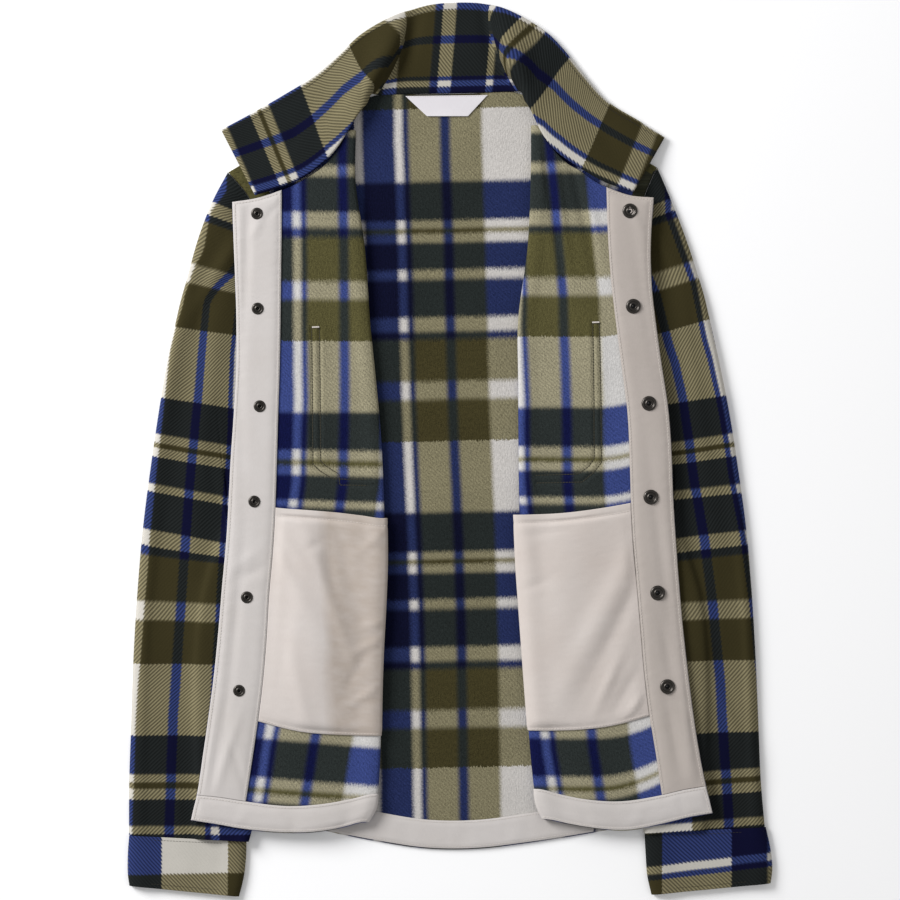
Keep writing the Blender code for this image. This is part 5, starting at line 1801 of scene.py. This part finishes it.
@dataclass
class Front:
    """One opened front: the folded panel with its facings, pockets and seams."""

    side: Side
    edges: Sequence[Edge]
    rows: Sequence[FrontRow]
    pocket_lines: Sequence[Sequence[tuple[float, float]]]
    bar_tack: tuple[tuple[float, float], tuple[float, float]]
    step: float = 4.2

    def inside(self) -> Array:
        """Points of the front's inside face, from its front edge over the fold to its side."""
        outward = self.side.outward
        heights = [edge.y for edge in self.edges]
        armhole = ARMHOLE[self.side]
        rows = []
        for index, row in enumerate(self.rows):
            front_x = float(smooth(heights, [e.front for e in self.edges], [row.front])[0])
            facing_x = float(smooth(heights, [e.facing for e in self.edges], [row.facing])[0])
            fold_x = float(smooth(heights, [e.fold for e in self.edges], [row.fold])[0])
            under = FRONT_UNDER + hem_rise(fold_x, row.fold)
            over = front_level(self.side, fold_x, row.fold) + FLEECE
            radius = (over - under) / 2
            turn_x = fold_x + outward * radius
            levels = (row.front, row.facing, row.pocket, row.middle, row.fold)
            points = []
            for station in UPPER_STATIONS:
                reach = front_x - facing_x if station < 0 else turn_x - facing_x
                x = facing_x + abs(station) * reach
                y = float(smooth(ROW_KNOTS, levels, [station])[0])
                points.append((x, y, front_level(self.side, x, y) + FLEECE))
            points[-1] = (turn_x, row.fold, over)
            for degrees in FOLD_ANGLES:
                angle = math.radians(degrees)
                x = turn_x - outward * radius * math.sin(angle)
                points.append((x, row.fold, under + radius + radius * math.cos(angle)))
            if index < len(armhole):
                side_x = armhole[index][0] - outward * SEAM_GAP
            else:
                side_x = side_edge(self.side, row.side)
            for station in UNDER_STATIONS:
                x = turn_x + station * (side_x - turn_x)
                bow = 4 * row.bow * station * (1 - station)
                y = row.fold + station * (row.side - row.fold) + bow
                points.append((x, y, FRONT_UNDER + hem_rise(x, y)))
            rows.append(points)
        return np.array(rows)

    def build(self, wardrobe: Wardrobe) -> None:
        """Lay the front and everything sewn on it.

        Args:
            wardrobe: The finishes.
        """
        self.surface = Surface(self.inside())
        self.wardrobe = wardrobe
        self._panel()
        self._chest_pocket()
        facing, hem, bag = self._linings()
        # The left facing takes the darker cotton: painted shade
        strip = wardrobe.facing if self.side is Side.RIGHT else wardrobe.facing_painted_shade
        sewn = []
        # The right pocket bag takes the cotton with painted shade
        loose = wardrobe.bag_painted_shade if self.side is Side.RIGHT else wardrobe.bag
        for lining, finish in ((facing, strip), (hem, wardrobe.facing), (bag, loose)):
            self._lay(lining, finish)
            sewn += [self._seam(lining, seam) for seam in lining.seams]
        name = self.side.value
        sew(f"cotton_stitches_{name}", sewn, wardrobe.thread, radius=0.24)
        pocket = [self._on_plan(line) for line in self.pocket_lines]
        sew(f"chest_pocket_stitches_{name}", pocket, wardrobe.khaki,
            radius=0.4, pitch=2.8, length=2.5)
        points, ups = self._on_plan(self.bar_tack)
        tack = [(points + (0.0, shift, TACK_LIFT), ups) for shift in (-TACK_SHIFT, TACK_SHIFT)]
        sew(f"bar_tack_{name}", tack, wardrobe.thread, radius=0.4, pitch=1.3,
            length=1.9)

    def _linings(self) -> tuple[Lining, Lining, Lining]:
        """The front facing, the hem facing and the pocket bag."""
        row, column = self.surface.row_place, self.surface.column_place
        hem_first, hem_last = HEM_FACING_ROWS
        bag_first, bag_last = POCKET_BAG_ROWS
        name = self.side.value
        edge = column(0) + LINING_INSET
        facing = Lining(
            f"facing_{name}_cotton", f"facing_{name}", (row(0), row(hem_first)),
            (edge, column(FACING_COLUMN)), FACING_CREASES[self.side],
            (Seam(False, edge + 2.4), Seam(False, column(FACING_COLUMN) - 1.8),
             Seam(True, row(0) + 2.4)), puff=1.1)
        hem = Lining(
            f"hem_facing_{name}_cotton", f"hem_facing_{name}",
            (row(hem_first) + SEAM_GAP, row(hem_last) - 1.0),
            (edge, column(WRAP_COLUMN)), HEM_CREASES[self.side],
            (Seam(True, row(hem_first) + 2.2), Seam(True, row(hem_last) - 3.2),
             Seam(False, edge + 2.4)), puff=0.9, folded=True)
        bag = Lining(
            f"pocket_bag_{name}_cotton", f"pocket_bag_{name}", (row(bag_first), row(bag_last)),
            (column(FACING_COLUMN) + SEAM_GAP, column(WRAP_COLUMN)), BAG_CREASES[self.side],
            (Seam(True, row(bag_first) + 7.4), Seam(True, row(bag_last) - 1.8)),
            puff=1.0, folded=True, overhang=BAG_OVERHANG[self.side])
        return facing, hem, bag

    def _columns(self, start: float, end: float, step: float, lip: float) -> Array:
        """Column stations, closer together round the fold.

        Args:
            start: Place of the first column.
            end: Place of the last one.
            step: Spacing in the middle.
            lip: Width over which the edges round off.

        Returns:
            The places.
        """
        turn = self.surface.column_place(TURN_COLUMN)
        fold_end = self.surface.column_place(TURN_COLUMN + len(FOLD_ANGLES))
        stations = edged(start, end, step, lip)
        if end <= turn + 0.5:
            return stations
        fold = np.linspace(turn, min(fold_end, end), 13 if end >= fold_end else 8)
        outside = stations[(stations < turn - 1.0) | (stations > fold[-1] + 1.0)]
        return np.sort(np.concatenate([outside, fold]))

    def _folds(self, points: Array) -> Array:
        """Height of the draped folds at the points of the inside face."""
        return crease_height(NECK_FOLDS[self.side], *plan(points))

    def _coordinates(self, points: Array, columns: Array) -> tuple[Array, Array]:
        """Plaid coordinates: by plan on the upper face, then on round the fold by length."""
        warp, weft = FRONT_CHARTS[self.side].places(*plan(points))
        turn = self.surface.column_place(TURN_COLUMN)
        last = int(np.searchsorted(columns, turn + 0.01)) - 1
        beyond = (columns[last + 1:] - columns[last])[None, :] * MM
        way = -self.side.outward
        warp[:, last + 1:] = warp[:, last:last + 1] + way * beyond
        weft[:, last + 1:] = weft[:, last:last + 1]
        _, down = in_picture(*plan(points))
        shoulder = (np.abs(points[:, :, 0]) > SHOULDER_X) & (points[:, :, 1] > SHOULDER_Y)
        under = (columns > columns[last])[None, :]
        olive = shoulder & under & (down < YOKE_LEVEL[self.side])
        yoke = shoulder & ~olive & (under | (self.side is Side.LEFT))
        for cells, (warp_at, weft_at) in ((olive, OLIVE_CELL), (yoke, YOKE_CELL)):
            away = points[:, :, 0] / PIXEL - self.side.outward * SHOULDER_PLACE[0]
            drift = np.clip(away, -SHOULDER_DRIFT[0], SHOULDER_DRIFT[0])
            lower = np.clip(down[cells] - SHOULDER_PLACE[1], -SHOULDER_DRIFT[1], SHOULDER_DRIFT[1])
            warp[cells] = (warp_at + DRIFT_SHARE * drift[cells]) * PIXEL * MM
            weft[cells] = (weft_at + lower) * PIXEL * MM
        return warp, weft

    def _panel(self) -> None:
        """The plaid panel, folded back over the sleeve, drawn in along the pocket's seams."""
        row, column = self.surface.row_place, self.surface.column_place
        last = len(UPPER_STATIONS) + len(FOLD_ANGLES) + len(UNDER_STATIONS) - 1
        rows = edged(row(0), row(len(self.rows) - 1), self.step, FLEECE_LIP)
        columns = self._columns(column(0), column(last), self.step, FLEECE_LIP)
        first_row, last_row = POCKET_SEAM_ROWS
        rows = finer(rows, row(first_row), row(last_row), POCKET_STEPS[0])
        columns = finer(columns, column(FACING_COLUMN) + POCKET_MARGINS[0],
                        column(TURN_COLUMN) - POCKET_MARGINS[1], POCKET_STEPS[1])
        base = self.surface.at(rows, columns)
        normals = unit_normals(base)
        up = facing_up(normals)
        drawn = groove(self.pocket_lines, *plan(base), GROOVE_WIDTH)
        between = groove(self.pocket_lines, *plan(base), RIDGE_WIDTH)
        rise = (self._folds(base) - GROOVE_DEPTH * drawn + RIDGE_HEIGHT * between) * up
        points = base + normals * rise[:, :, None]
        warp, weft = self._coordinates(base, columns)
        name = self.side.value
        cloth = Cloth(f"front_{name}_panel", points, FLEECE, warp, weft, lip=FLEECE_LIP)
        lay_cloth(cloth, self.wardrobe.front, [f"front_{name}"])

    def _chest_pocket(self) -> None:
        """The chest pocket's patch, inside the fold."""
        first, last = POCKET_PATCH_ROWS
        rows = edged(self.surface.row_place(first), self.surface.row_place(last),
                     PATCH_STEP, THIN_LIP)
        columns = self._columns(self.surface.column_place(POCKET_COLUMN),
                                self.surface.column_place(POCKET_END_COLUMN), PATCH_STEP,
                                THIN_LIP)
        base = self.surface.at(rows, columns)
        points = base - unit_normals(base) * (FLEECE + SEAM_GAP)
        warp, weft = self._coordinates(base, columns)
        name = self.side.value
        cloth = Cloth(f"chest_pocket_{name}_patch", points, POCKET_PATCH, warp, weft, lip=THIN_LIP)
        lay_cloth(cloth, self.wardrobe.outer, [f"chest_pocket_{name}"])

    def _face(self, lining: Lining, rows: Array, columns: Array) -> tuple[Array, Array]:
        """Points of a lining's face, and the normals of the fleece under it."""
        base = self.surface.at(rows, columns)
        normals = unit_normals(base)
        up = facing_up(normals)
        rise = lining.rise(rows, columns, *plan(base), up) + self._folds(base) * up
        points = base + normals * rise[:, :, None]
        if lining.overhang:
            turn = self.surface.column_place(TURN_COLUMN)
            out = ramp((columns - turn + DRAPE_BLEND) / DRAPE_BLEND)[None, :]
            share = (rows - lining.rows[0]) / (lining.rows[1] - lining.rows[0])
            down = ramp(DRAPE_SHARE - share)[:, None]
            points[:, :, 0] -= self.side.outward * lining.overhang * out * down
        return points, normals

    def _lay(self, lining: Lining, material: bpy.types.Material) -> None:
        """Lay a lining as a sheet.

        Args:
            lining: The cotton piece.
            material: Its finish.
        """
        rows = edged(*lining.rows, LINING_STEPS[0], LINING_EDGE)
        for seam in lining.seams:
            if seam.along_row:
                rows = finer(rows, seam.place - SEAM_REACH, seam.place + SEAM_REACH, FINE_STEP)
        columns = self._columns(*lining.columns, LINING_STEPS[1], LINING_EDGE)
        for seam in lining.seams:
            if not seam.along_row:
                columns = finer(columns, seam.place - SEAM_REACH, seam.place + SEAM_REACH,
                                FINE_STEP)
        points, _ = self._face(lining, rows, columns)
        warp = np.tile(columns[None, :], (len(rows), 1)) * MM
        weft = np.tile(rows[:, None], (1, len(columns))) * MM
        cloth = Cloth(lining.name, points, COTTON, warp, weft, lip=COTTON_LIP)
        lay_cloth(cloth, material, [lining.node])

    def _seam(self, lining: Lining, seam: Seam) -> tuple[Array, Array]:
        """Points and normals along one seam of a lining."""
        if seam.along_row:
            columns = np.arange(lining.columns[0] + SEAM_ENDS[0], lining.columns[1] - SEAM_ENDS[1],
                                SEAM_STEP)
            points, normals = self._face(lining, np.array([seam.place, seam.place + 0.6]), columns)
            points, normals = points[0], normals[0]
        else:
            rows = np.arange(lining.rows[0] + SEAM_ENDS[0], lining.rows[1] - SEAM_ENDS[1],
                             SEAM_STEP)
            points, normals = self._face(lining, rows, np.array([seam.place, seam.place + 0.6]))
            points, normals = points[:, 0], normals[:, 0]
        return points + normals * THREAD_LIFT, normals

    def _on_plan(self, line: Sequence[tuple[float, float]]) -> tuple[Array, Array]:
        """A line read in the photograph's pixels, laid on the inside face."""
        marks = np.array([(x, y, 0.0) for x, y in on_jacket(line)])
        reach = arc(marks)
        at = np.linspace(0.0, reach[-1], max(2, int(reach[-1] / 2.0)))
        points = np.array([on_line(place, reach, marks) for place in at])
        for point in points:
            point[2] = front_level(self.side, point[0], point[1]) + FLEECE - POCKET_THREAD_SINK
        points[:, 2] += crease_height(NECK_FOLDS[self.side], *plan(points))
        return points, upright(points)


@dataclass
class Sleeve:
    """A sleeve laid flat as an open tube, and the cuff below it."""

    side: Side
    rings: Sequence[SleeveRing]
    cuff_rings: Sequence[CuffRing]
    step: float = 4.4

    def base(self, x: float, y: float) -> float:
        """Height of the sleeve's underside: on the ground, or over the body's side edge."""
        clear = abs(x) - abs(side_edge(self.side, y)) - SLEEVE_RAMP_START
        below = float(ramp((UNDERARM_Y - UNDERARM_CLEARANCE - y) / UNDERARM_BLEND))
        return SLEEVE_OVER_BODY * (1 - float(ramp(clear / SLEEVE_RAMP))) * below

    def crossing(self, ring: SleeveRing, clearance: float, lowest: float, highest: float) -> float:
        """Fraction of a ring's width at which it passes the body's side edge."""
        fraction = highest
        for _ in range(4):
            y = ring.outer_y + fraction * (ring.inner_y - ring.outer_y)
            edge_x = side_edge(self.side, y) + self.side.outward * clearance
            fraction = (edge_x - ring.outer_x) / (ring.inner_x - ring.outer_x)
            fraction = min(max(fraction, lowest), highest)
        return fraction

    def rings_at(self, wall: float = 0.0) -> Array:
        """Rings of the sleeve's outer face, or of its hollow, from the armhole to the cuff."""
        armhole = np.array(ARMHOLE[self.side]) + (self.side.outward * SEAM_GAP, 0.0)
        first = self.rings[0]
        even = np.linspace(0.0, 1.0, len(armhole))
        chord = [(first.outer_x + t * (first.inner_x - first.outer_x),
                  first.outer_y + t * (first.inner_y - first.outer_y)) for t in even]
        bulge = armhole - np.array(chord)
        grid = []
        for ring in self.rings:
            if ring.head > EVEN_HEAD:
                fractions = even
            else:
                at_ramp = self.crossing(ring, SLEEVE_RAMP_START + SLEEVE_RAMP, *RAMP_FRACTIONS)
                at_edge = self.crossing(ring, SLEEVE_RAMP_START, at_ramp + EDGE_FRACTION_STEP,
                                        EDGE_FRACTION_MOST)
                rest = 1 - at_edge
                fractions = np.array([0, at_ramp / 3, 2 * at_ramp / 3, at_ramp, at_edge,
                                      at_edge + rest / 3, at_edge + 2 * rest / 3, 1.0])
            start = np.array((ring.outer_x, ring.outer_y))
            end = np.array((ring.inner_x, ring.inner_y))
            line = [start + t * (end - start) + ring.head ** (1 + HEAD_FADE * t) * bulge[i]
                    for i, t in enumerate(fractions)]
            bases = [self.base(p[0], p[1]) for p in line]
            height = SLEEVE_HEIGHT + (SLEEVE_HEAD_HEIGHT - SLEEVE_HEIGHT) * ring.head
            grid.append(flat_ring(line, bases, height, wall))
        return np.array(grid)

    def cuff_at(self, wall: float = 0.0) -> Array:
        """Rings of the cuff's outer face, or of its hollow."""
        grid = []
        for ring in self.cuff_rings:
            start = np.array((ring.outer_x, ring.outer_y))
            end = np.array((ring.inner_x, ring.inner_y))
            line = [start + t * (end - start) for t in CUFF_FRACTIONS]
            grid.append(flat_ring(line, [0.0] * len(line), CUFF_HEIGHT, wall))
        return np.array(grid)

    def build(self, wardrobe: Wardrobe) -> None:
        """Lay the sleeve and its cuff.

        Args:
            wardrobe: The finishes.
        """
        name = self.side.value
        chart = SLEEVE_CHARTS[self.side]
        self._tube(f"sleeve_{name}_tube", f"sleeve_{name}", self.rings_at(), self.rings_at(FLEECE),
                   chart.places, SLEEVE_CREASES[self.side], wardrobe, ["floor", "back_panel"])
        self._tube(f"cuff_{name}_band", f"cuff_{name}", self.cuff_at(), self.cuff_at(CUFF_WALL),
                   self._cuff_plaid, (), wardrobe, ["floor"])
        self._cuff_seams(wardrobe)

    def _cuff_plaid(self, x: Array, y: Array) -> tuple[Array, Array]:
        """Plaid coordinates of the cuff, which is cut across the grain."""
        stripe_x, weft_way, stripe_y, stripe_warp, warp_way, tilt, pivot = CUFF_PLAID[self.side]
        across, down = in_picture(x, y)
        weft = weft_way * (across - stripe_x)
        warp = stripe_warp + warp_way * (down - tilt * (across - pivot) - stripe_y)
        return warp * PIXEL * MM, weft * PIXEL * MM

    def _tube(self, name: str, node: str, outer: Array, hollow: Array,
              plaid: Callable[[Array, Array], tuple[Array, Array]], creases: Sequence[Crease],
              wardrobe: Wardrobe, rests_on: Sequence[str]) -> None:
        """Lay one tube of plaid, open at both ends.

        Args:
            name: The piece's name.
            node: The CAD node that it stands for.
            outer: Rings of the outer face.
            hollow: Rings of the inner face.
            plaid: Gives the plaid coordinates of places in plan.
            creases: Its creases.
            wardrobe: The finishes.
            rests_on: What it lies on; not used.
        """
        skin, lining = Surface(outer, closed=True), Surface(hollow, closed=True)
        reach = skin.row_place(len(outer) - 1)
        share = edged(0.0, reach, self.step, FLEECE_LIP) / reach
        around = np.linspace(0.0, 1.0, int(skin.width(0, outer.shape[1]) / TUBE_STEP) + 1)[:-1]
        top = skin.at(share * reach, skin.turned(around))
        bottom = lining.at(share * lining.row_place(len(outer) - 1), lining.turned(around))
        normals = unit_normals(top, closed=True)
        up = facing_up(normals)
        height = crease_height(creases, *plan(top)) * up
        top[:, :, 2] += height
        bottom[:, :, 2] += height
        bottom[:, :, 2] = np.maximum(bottom[:, :, 2], hollow[:, :, 2].min())
        warp, weft = plaid(*plan(top))
        mesh = grid_shell(name, top, bottom, warp, weft, closed=True)
        piece = add_piece(name, mesh, wardrobe.outer, [node])
        self.skin = skin

    def _cuff_seams(self, wardrobe: Wardrobe) -> None:
        """Stitches along the cuff's two edges, on its upper side."""
        rings = self.cuff_at()
        last = len(CUFF_FRACTIONS)
        lines = []
        for first, share in zip((0, len(rings) - 2), CUFF_SEAM_SHARES):
            line = rings[first, :last] + share * (rings[first + 1, :last] - rings[first, :last])
            line = line + (0.0, 0.0, CUFF_THREAD_LIFT)
            lines.append((line, upright(line)))
        sew(f"cuff_stitches_{self.side.value}", lines, wardrobe.khaki, radius=0.15)


def flat_ring(line: Sequence[Array], bases: Sequence[float], height: float,
              wall: float = 0.0) -> list[tuple[float, float, float]]:
    """Closed ring of a flattened tube over a line in plan: along the top, back underneath.

    Args:
        line: Points of the line in plan.
        bases: Height of the underside at each of them.
        height: Height of the tube.
        wall: Thickness of the cloth, for the ring of the hollow.

    Returns:
        The ring's points.
    """
    line = np.array(line)
    radius = height / 2
    first = line[1] - line[0]
    last = line[-1] - line[-2]
    first = first / np.linalg.norm(first)
    last = last / np.linalg.norm(last)
    line[0] += first * radius
    line[-1] -= last * radius
    top = [(p[0], p[1], base + height - wall) for p, base in zip(line, bases)]
    bottom = [(p[0], p[1], base + wall) for p, base in zip(line, bases)]
    inner, outer = [], []
    for degrees in TUBE_ANGLES:
        angle = math.radians(degrees)
        reach = (radius - wall) * math.sin(angle)
        level = (radius - wall) * math.cos(angle)
        inner.append((*(line[-1] + last * reach), bases[-1] + radius + level))
        outer.append((*(line[0] - first * reach), bases[0] + radius - level))
    return top + inner + bottom[::-1] + outer


@dataclass
class Collar:
    """The collar: flat behind the neck, its ends rolled over the shoulders."""

    columns: Sequence[CollarColumn]
    step: float = 3.6

    def underside(self) -> Array:
        """Points of the collar's underside, from its right end round the neck to its left."""
        grid = []
        for column in self.columns:
            levels = (column.z0, column.z1, column.z2, column.z3, column.z4)
            points = []
            for v in COLLAR_STATIONS:
                bow = 4 * column.bow * v * (1 - v)
                x = column.neck_x + v * (column.edge_x - column.neck_x) + bow
                y = column.neck_y + v * (column.edge_y - column.neck_y)
                points.append((x, y, float(smooth(COLLAR_KNOTS, levels, [v])[0])))
            grid.append(points)
        return np.array(grid)

    def _plaid(self, numbers: Array, columns: Array, points: Array) -> tuple[Array, Array]:
        """Plaid coordinates, in pixels of the photograph.

        Args:
            numbers: Number of the collar's column at each row of points.
            columns: Places from the neck seam to the outer edge.
            points: The inner face's points.

        Returns:
            The warp and the weft coordinate of each point.
        """
        share = ((columns[-1] - columns) / (columns[-1] - columns[0]))[None, :]
        outer = np.interp(numbers, *zip(*COLLAR_OUTER_WEFT))[:, None]
        neck = np.interp(numbers, *zip(*COLLAR_NECK_WEFT))[:, None]
        top = np.interp(numbers, *zip(*COLLAR_OUTER_WARP))[:, None]
        low = np.interp(numbers, *zip(*COLLAR_NECK_WARP))[:, None]
        stripe = np.interp(numbers, *zip(*COLLAR_NAVY_SHARE))[:, None]
        above = top + (NAVY_WARP - top) * share / stripe
        below = NAVY_WARP + (low - NAVY_WARP) * (share - stripe) / (1 - stripe)
        first, second = COLLAR_MIDDLE_COLUMNS
        flat = ((numbers > first) & (numbers < second))[:, None]
        middle = np.interp(share * COLLAR_DEPTH, *zip(*COLLAR_DEPTH_WARP))
        warp = np.where(flat, middle, np.where(share < stripe, above, below))
        across, down = in_picture(*plan(points))
        place = across + COLLAR_SLANT * (down - COLLAR_SLANT_LEVEL)
        across = np.interp(place, *zip(*COLLAR_MIDDLE_WEFT))
        weft = np.where(flat, across, outer + (neck - outer) * share)
        return warp, weft

    def build(self, wardrobe: Wardrobe) -> None:
        """Lay the collar and its edge stitching.

        Args:
            wardrobe: The finishes.
        """
        surface = Surface(self.underside())
        last = len(self.columns) - 1
        outer_edge = surface.column_place(len(COLLAR_STATIONS) - 1)
        rows = edged(surface.row_place(0), surface.row_place(last), self.step, FACE_LIP)
        columns = edged(surface.column_place(0), outer_edge, COLLAR_STEP, FACE_LIP)
        base = surface.at(rows, columns)
        normals = unit_normals(base)
        points = base + normals * COLLAR_WALL
        points[:, :, 2] += crease_height(COLLAR_CREASES, *plan(points))
        numbers = np.interp(rows, surface.row_knots, np.arange(last + 1))
        warp, weft = self._plaid(numbers, columns, points)
        cloth = Cloth("collar_fold", points, COLLAR_WALL, warp * PIXEL * MM, weft * PIXEL * MM,
                      lip=FACE_LIP)
        lay_cloth(cloth, wardrobe.outer, ["collar"])
        lines = []
        edge = outer_edge - COLLAR_SEAM_INSET
        for start, end in COLLAR_SEAM_RUNS:
            span = np.arange(np.interp(start, np.arange(last + 1), surface.row_knots),
                             np.interp(end, np.arange(last + 1), surface.row_knots), 2.0)
            strip = surface.at(span, [edge, edge + 1.0])
            ups = unit_normals(strip)
            line = strip[:, 0] + ups[:, 0] * (COLLAR_WALL + THREAD_LIFT)
            line[:, 2] += crease_height(COLLAR_CREASES, *plan(line))
            lines.append((line, ups[:, 0]))
        sew("collar_stitches", lines, wardrobe.navy, radius=0.2)


@dataclass
class SnapRow:
    """The six snap halves down one facing."""

    name: str
    side: Side
    places: Sequence[tuple[float, float]]
    body: Sequence[tuple[float, float]]
    well: Sequence[tuple[float, float]]
    turns: int = 40

    def build(self, wardrobe: Wardrobe) -> None:
        """Turn each snap half and seat it on the facing.

        Args:
            wardrobe: The finishes.
        """
        for number, (x, y) in enumerate(self.places, start=1):
            level = front_level(self.side, x, y) + FLEECE + SEAM_GAP + COTTON + SNAP_LIFT
            node = f"{self.name}_{number}"
            ring = self._turned(f"{node}_ring", self.body, x, y, level)
            add_piece(f"{node}_ring", ring, wardrobe.snap, [node])
            # The well in each snap's hole is near black: painted shade
            well = self._turned(f"{node}_well", self.well, x, y, level)
            add_piece(f"{node}_well", well, wardrobe.snap_hole_shade)

    def _turned(self, name: str, profile: Sequence[tuple[float, float]], x: float, y: float,
                level: float) -> bpy.types.Mesh:
        """Turn a closed profile about the snap's axis.

        Args:
            name: The mesh's name.
            profile: Radius and height of each point, from the axis or round a ring.
            x: Place across.
            y: Place along.
            level: Height of the foot.

        Returns:
            The closed mesh.
        """
        solid = profile[0][0] == 0.0
        turns = np.linspace(0, 2 * math.pi, self.turns + 1)[:-1]
        middle = profile[1:-1] if solid else profile
        points = [(x + r * math.cos(t), y + r * math.sin(t), level + z)
                  for r, z in middle for t in turns]
        count = self.turns
        faces = []
        rings = len(middle) - 1 if solid else len(middle)
        for ring in range(rings):
            after = (ring + 1) % len(middle)
            for k in range(count):
                n = (k + 1) % count
                faces.append((ring * count + k, ring * count + n,
                              after * count + n, after * count + k))
        if solid:
            bottom, top = len(points), len(points) + 1
            points += [(x, y, level + profile[0][1]), (x, y, level + profile[-1][1])]
            final = (len(middle) - 1) * count
            for k in range(count):
                n = (k + 1) % count
                faces.append((bottom, n, k))
                faces.append((top, final + k, final + n))
        mesh = bpy.data.meshes.new(name)
        mesh.from_pydata([tuple(v * MM for v in point) for point in points], [], faces)
        mesh.shade_smooth()
        return mesh


@dataclass
class Studio:
    """The pale floor, the soft light and the camera straight above."""

    lens: float = 135.0
    sensor: float = 36.0
    floor_size: float = 6.0
    focus_height: float = 0.006
    floor_level: float = -0.0002

    def build(self, wardrobe: Wardrobe) -> None:
        """Set the floor, the lights and the camera.

        Args:
            wardrobe: The finishes.
        """
        half = self.floor_size / 2
        mesh = bpy.data.meshes.new("floor")
        corners = ((-half, -half), (half, -half), (half, half), (-half, half))
        mesh.from_pydata([(x, y, self.floor_level) for x, y in corners], [], [(0, 1, 2, 3)])
        mesh.materials.append(wardrobe.floor)
        paint = wardrobe.floor.node_tree.nodes["Principled BSDF"]
        paint.inputs["Emission Color"].default_value = (1.0, 1.0, 1.0, 1.0)
        paint.inputs["Emission Strength"].default_value = FLOOR_GLOW
        placed("floor", mesh)
        self._camera()
        self._lights()

    def _camera(self) -> None:
        """Camera over the middle of the picture, one pixel to its size on the jacket."""
        data = bpy.data.cameras.new("camera")
        data.lens = self.lens
        data.sensor_width = self.sensor
        camera = placed("camera", data)
        width = 2 * PICTURE_MIDDLE[0] * PIXEL * MM
        camera.location = (0.0, -0.0005, self.focus_height + width * self.lens / self.sensor)
        data.clip_end = 50.0
        bpy.context.scene.camera = camera

    def _lights(self) -> None:
        """One large soft light from the upper left, a weaker one opposite, and a pale sky."""
        for name, place, size, power in LIGHTS:
            data = bpy.data.lights.new(name, "AREA")
            data.shape = "DISK"
            data.size = size
            data.energy = power
            lamp = placed(name, data)
            lamp.location = place
            lamp.rotation_mode = "QUATERNION"
            lamp.rotation_quaternion = (-lamp.location).to_track_quat("-Z", "Y")
        world = bpy.data.worlds.new("sky")
        world.use_nodes = True
        sky = world.node_tree.nodes["Background"]
        sky.inputs["Color"].default_value = (1.0, 1.0, 1.0, 1.0)
        sky.inputs["Strength"].default_value = SKY
        bpy.context.scene.world = world
        bpy.context.scene.view_settings.view_transform = "Standard"


def main() -> None:
    """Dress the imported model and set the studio."""
    logging.basicConfig(level=logging.INFO, format="%(name)s: %(message)s")
    wardrobe = Wardrobe.made()
    Studio().build(wardrobe)
    Back(BACK_TOP, BACK_ROWS, BACK_BAND_ENDS).build(wardrobe)
    for side in Side:
        Sleeve(side, SLEEVE_RINGS[side], CUFF_RINGS[side]).build(wardrobe)
        Front(side, FRONT_EDGES[side], FRONT_ROWS[side], POCKET_LINES[side],
              BAR_TACKS[side]).build(wardrobe)
    Collar(COLLAR_COLUMNS).build(wardrobe)
    SnapRow("stud", Side.RIGHT, STUDS, STUD_RING, STUD_WELL).build(wardrobe)
    SnapRow("socket", Side.LEFT, SOCKETS, SOCKET_RING, SOCKET_WELL).build(wardrobe)


if __name__ == "__main__":
    main()
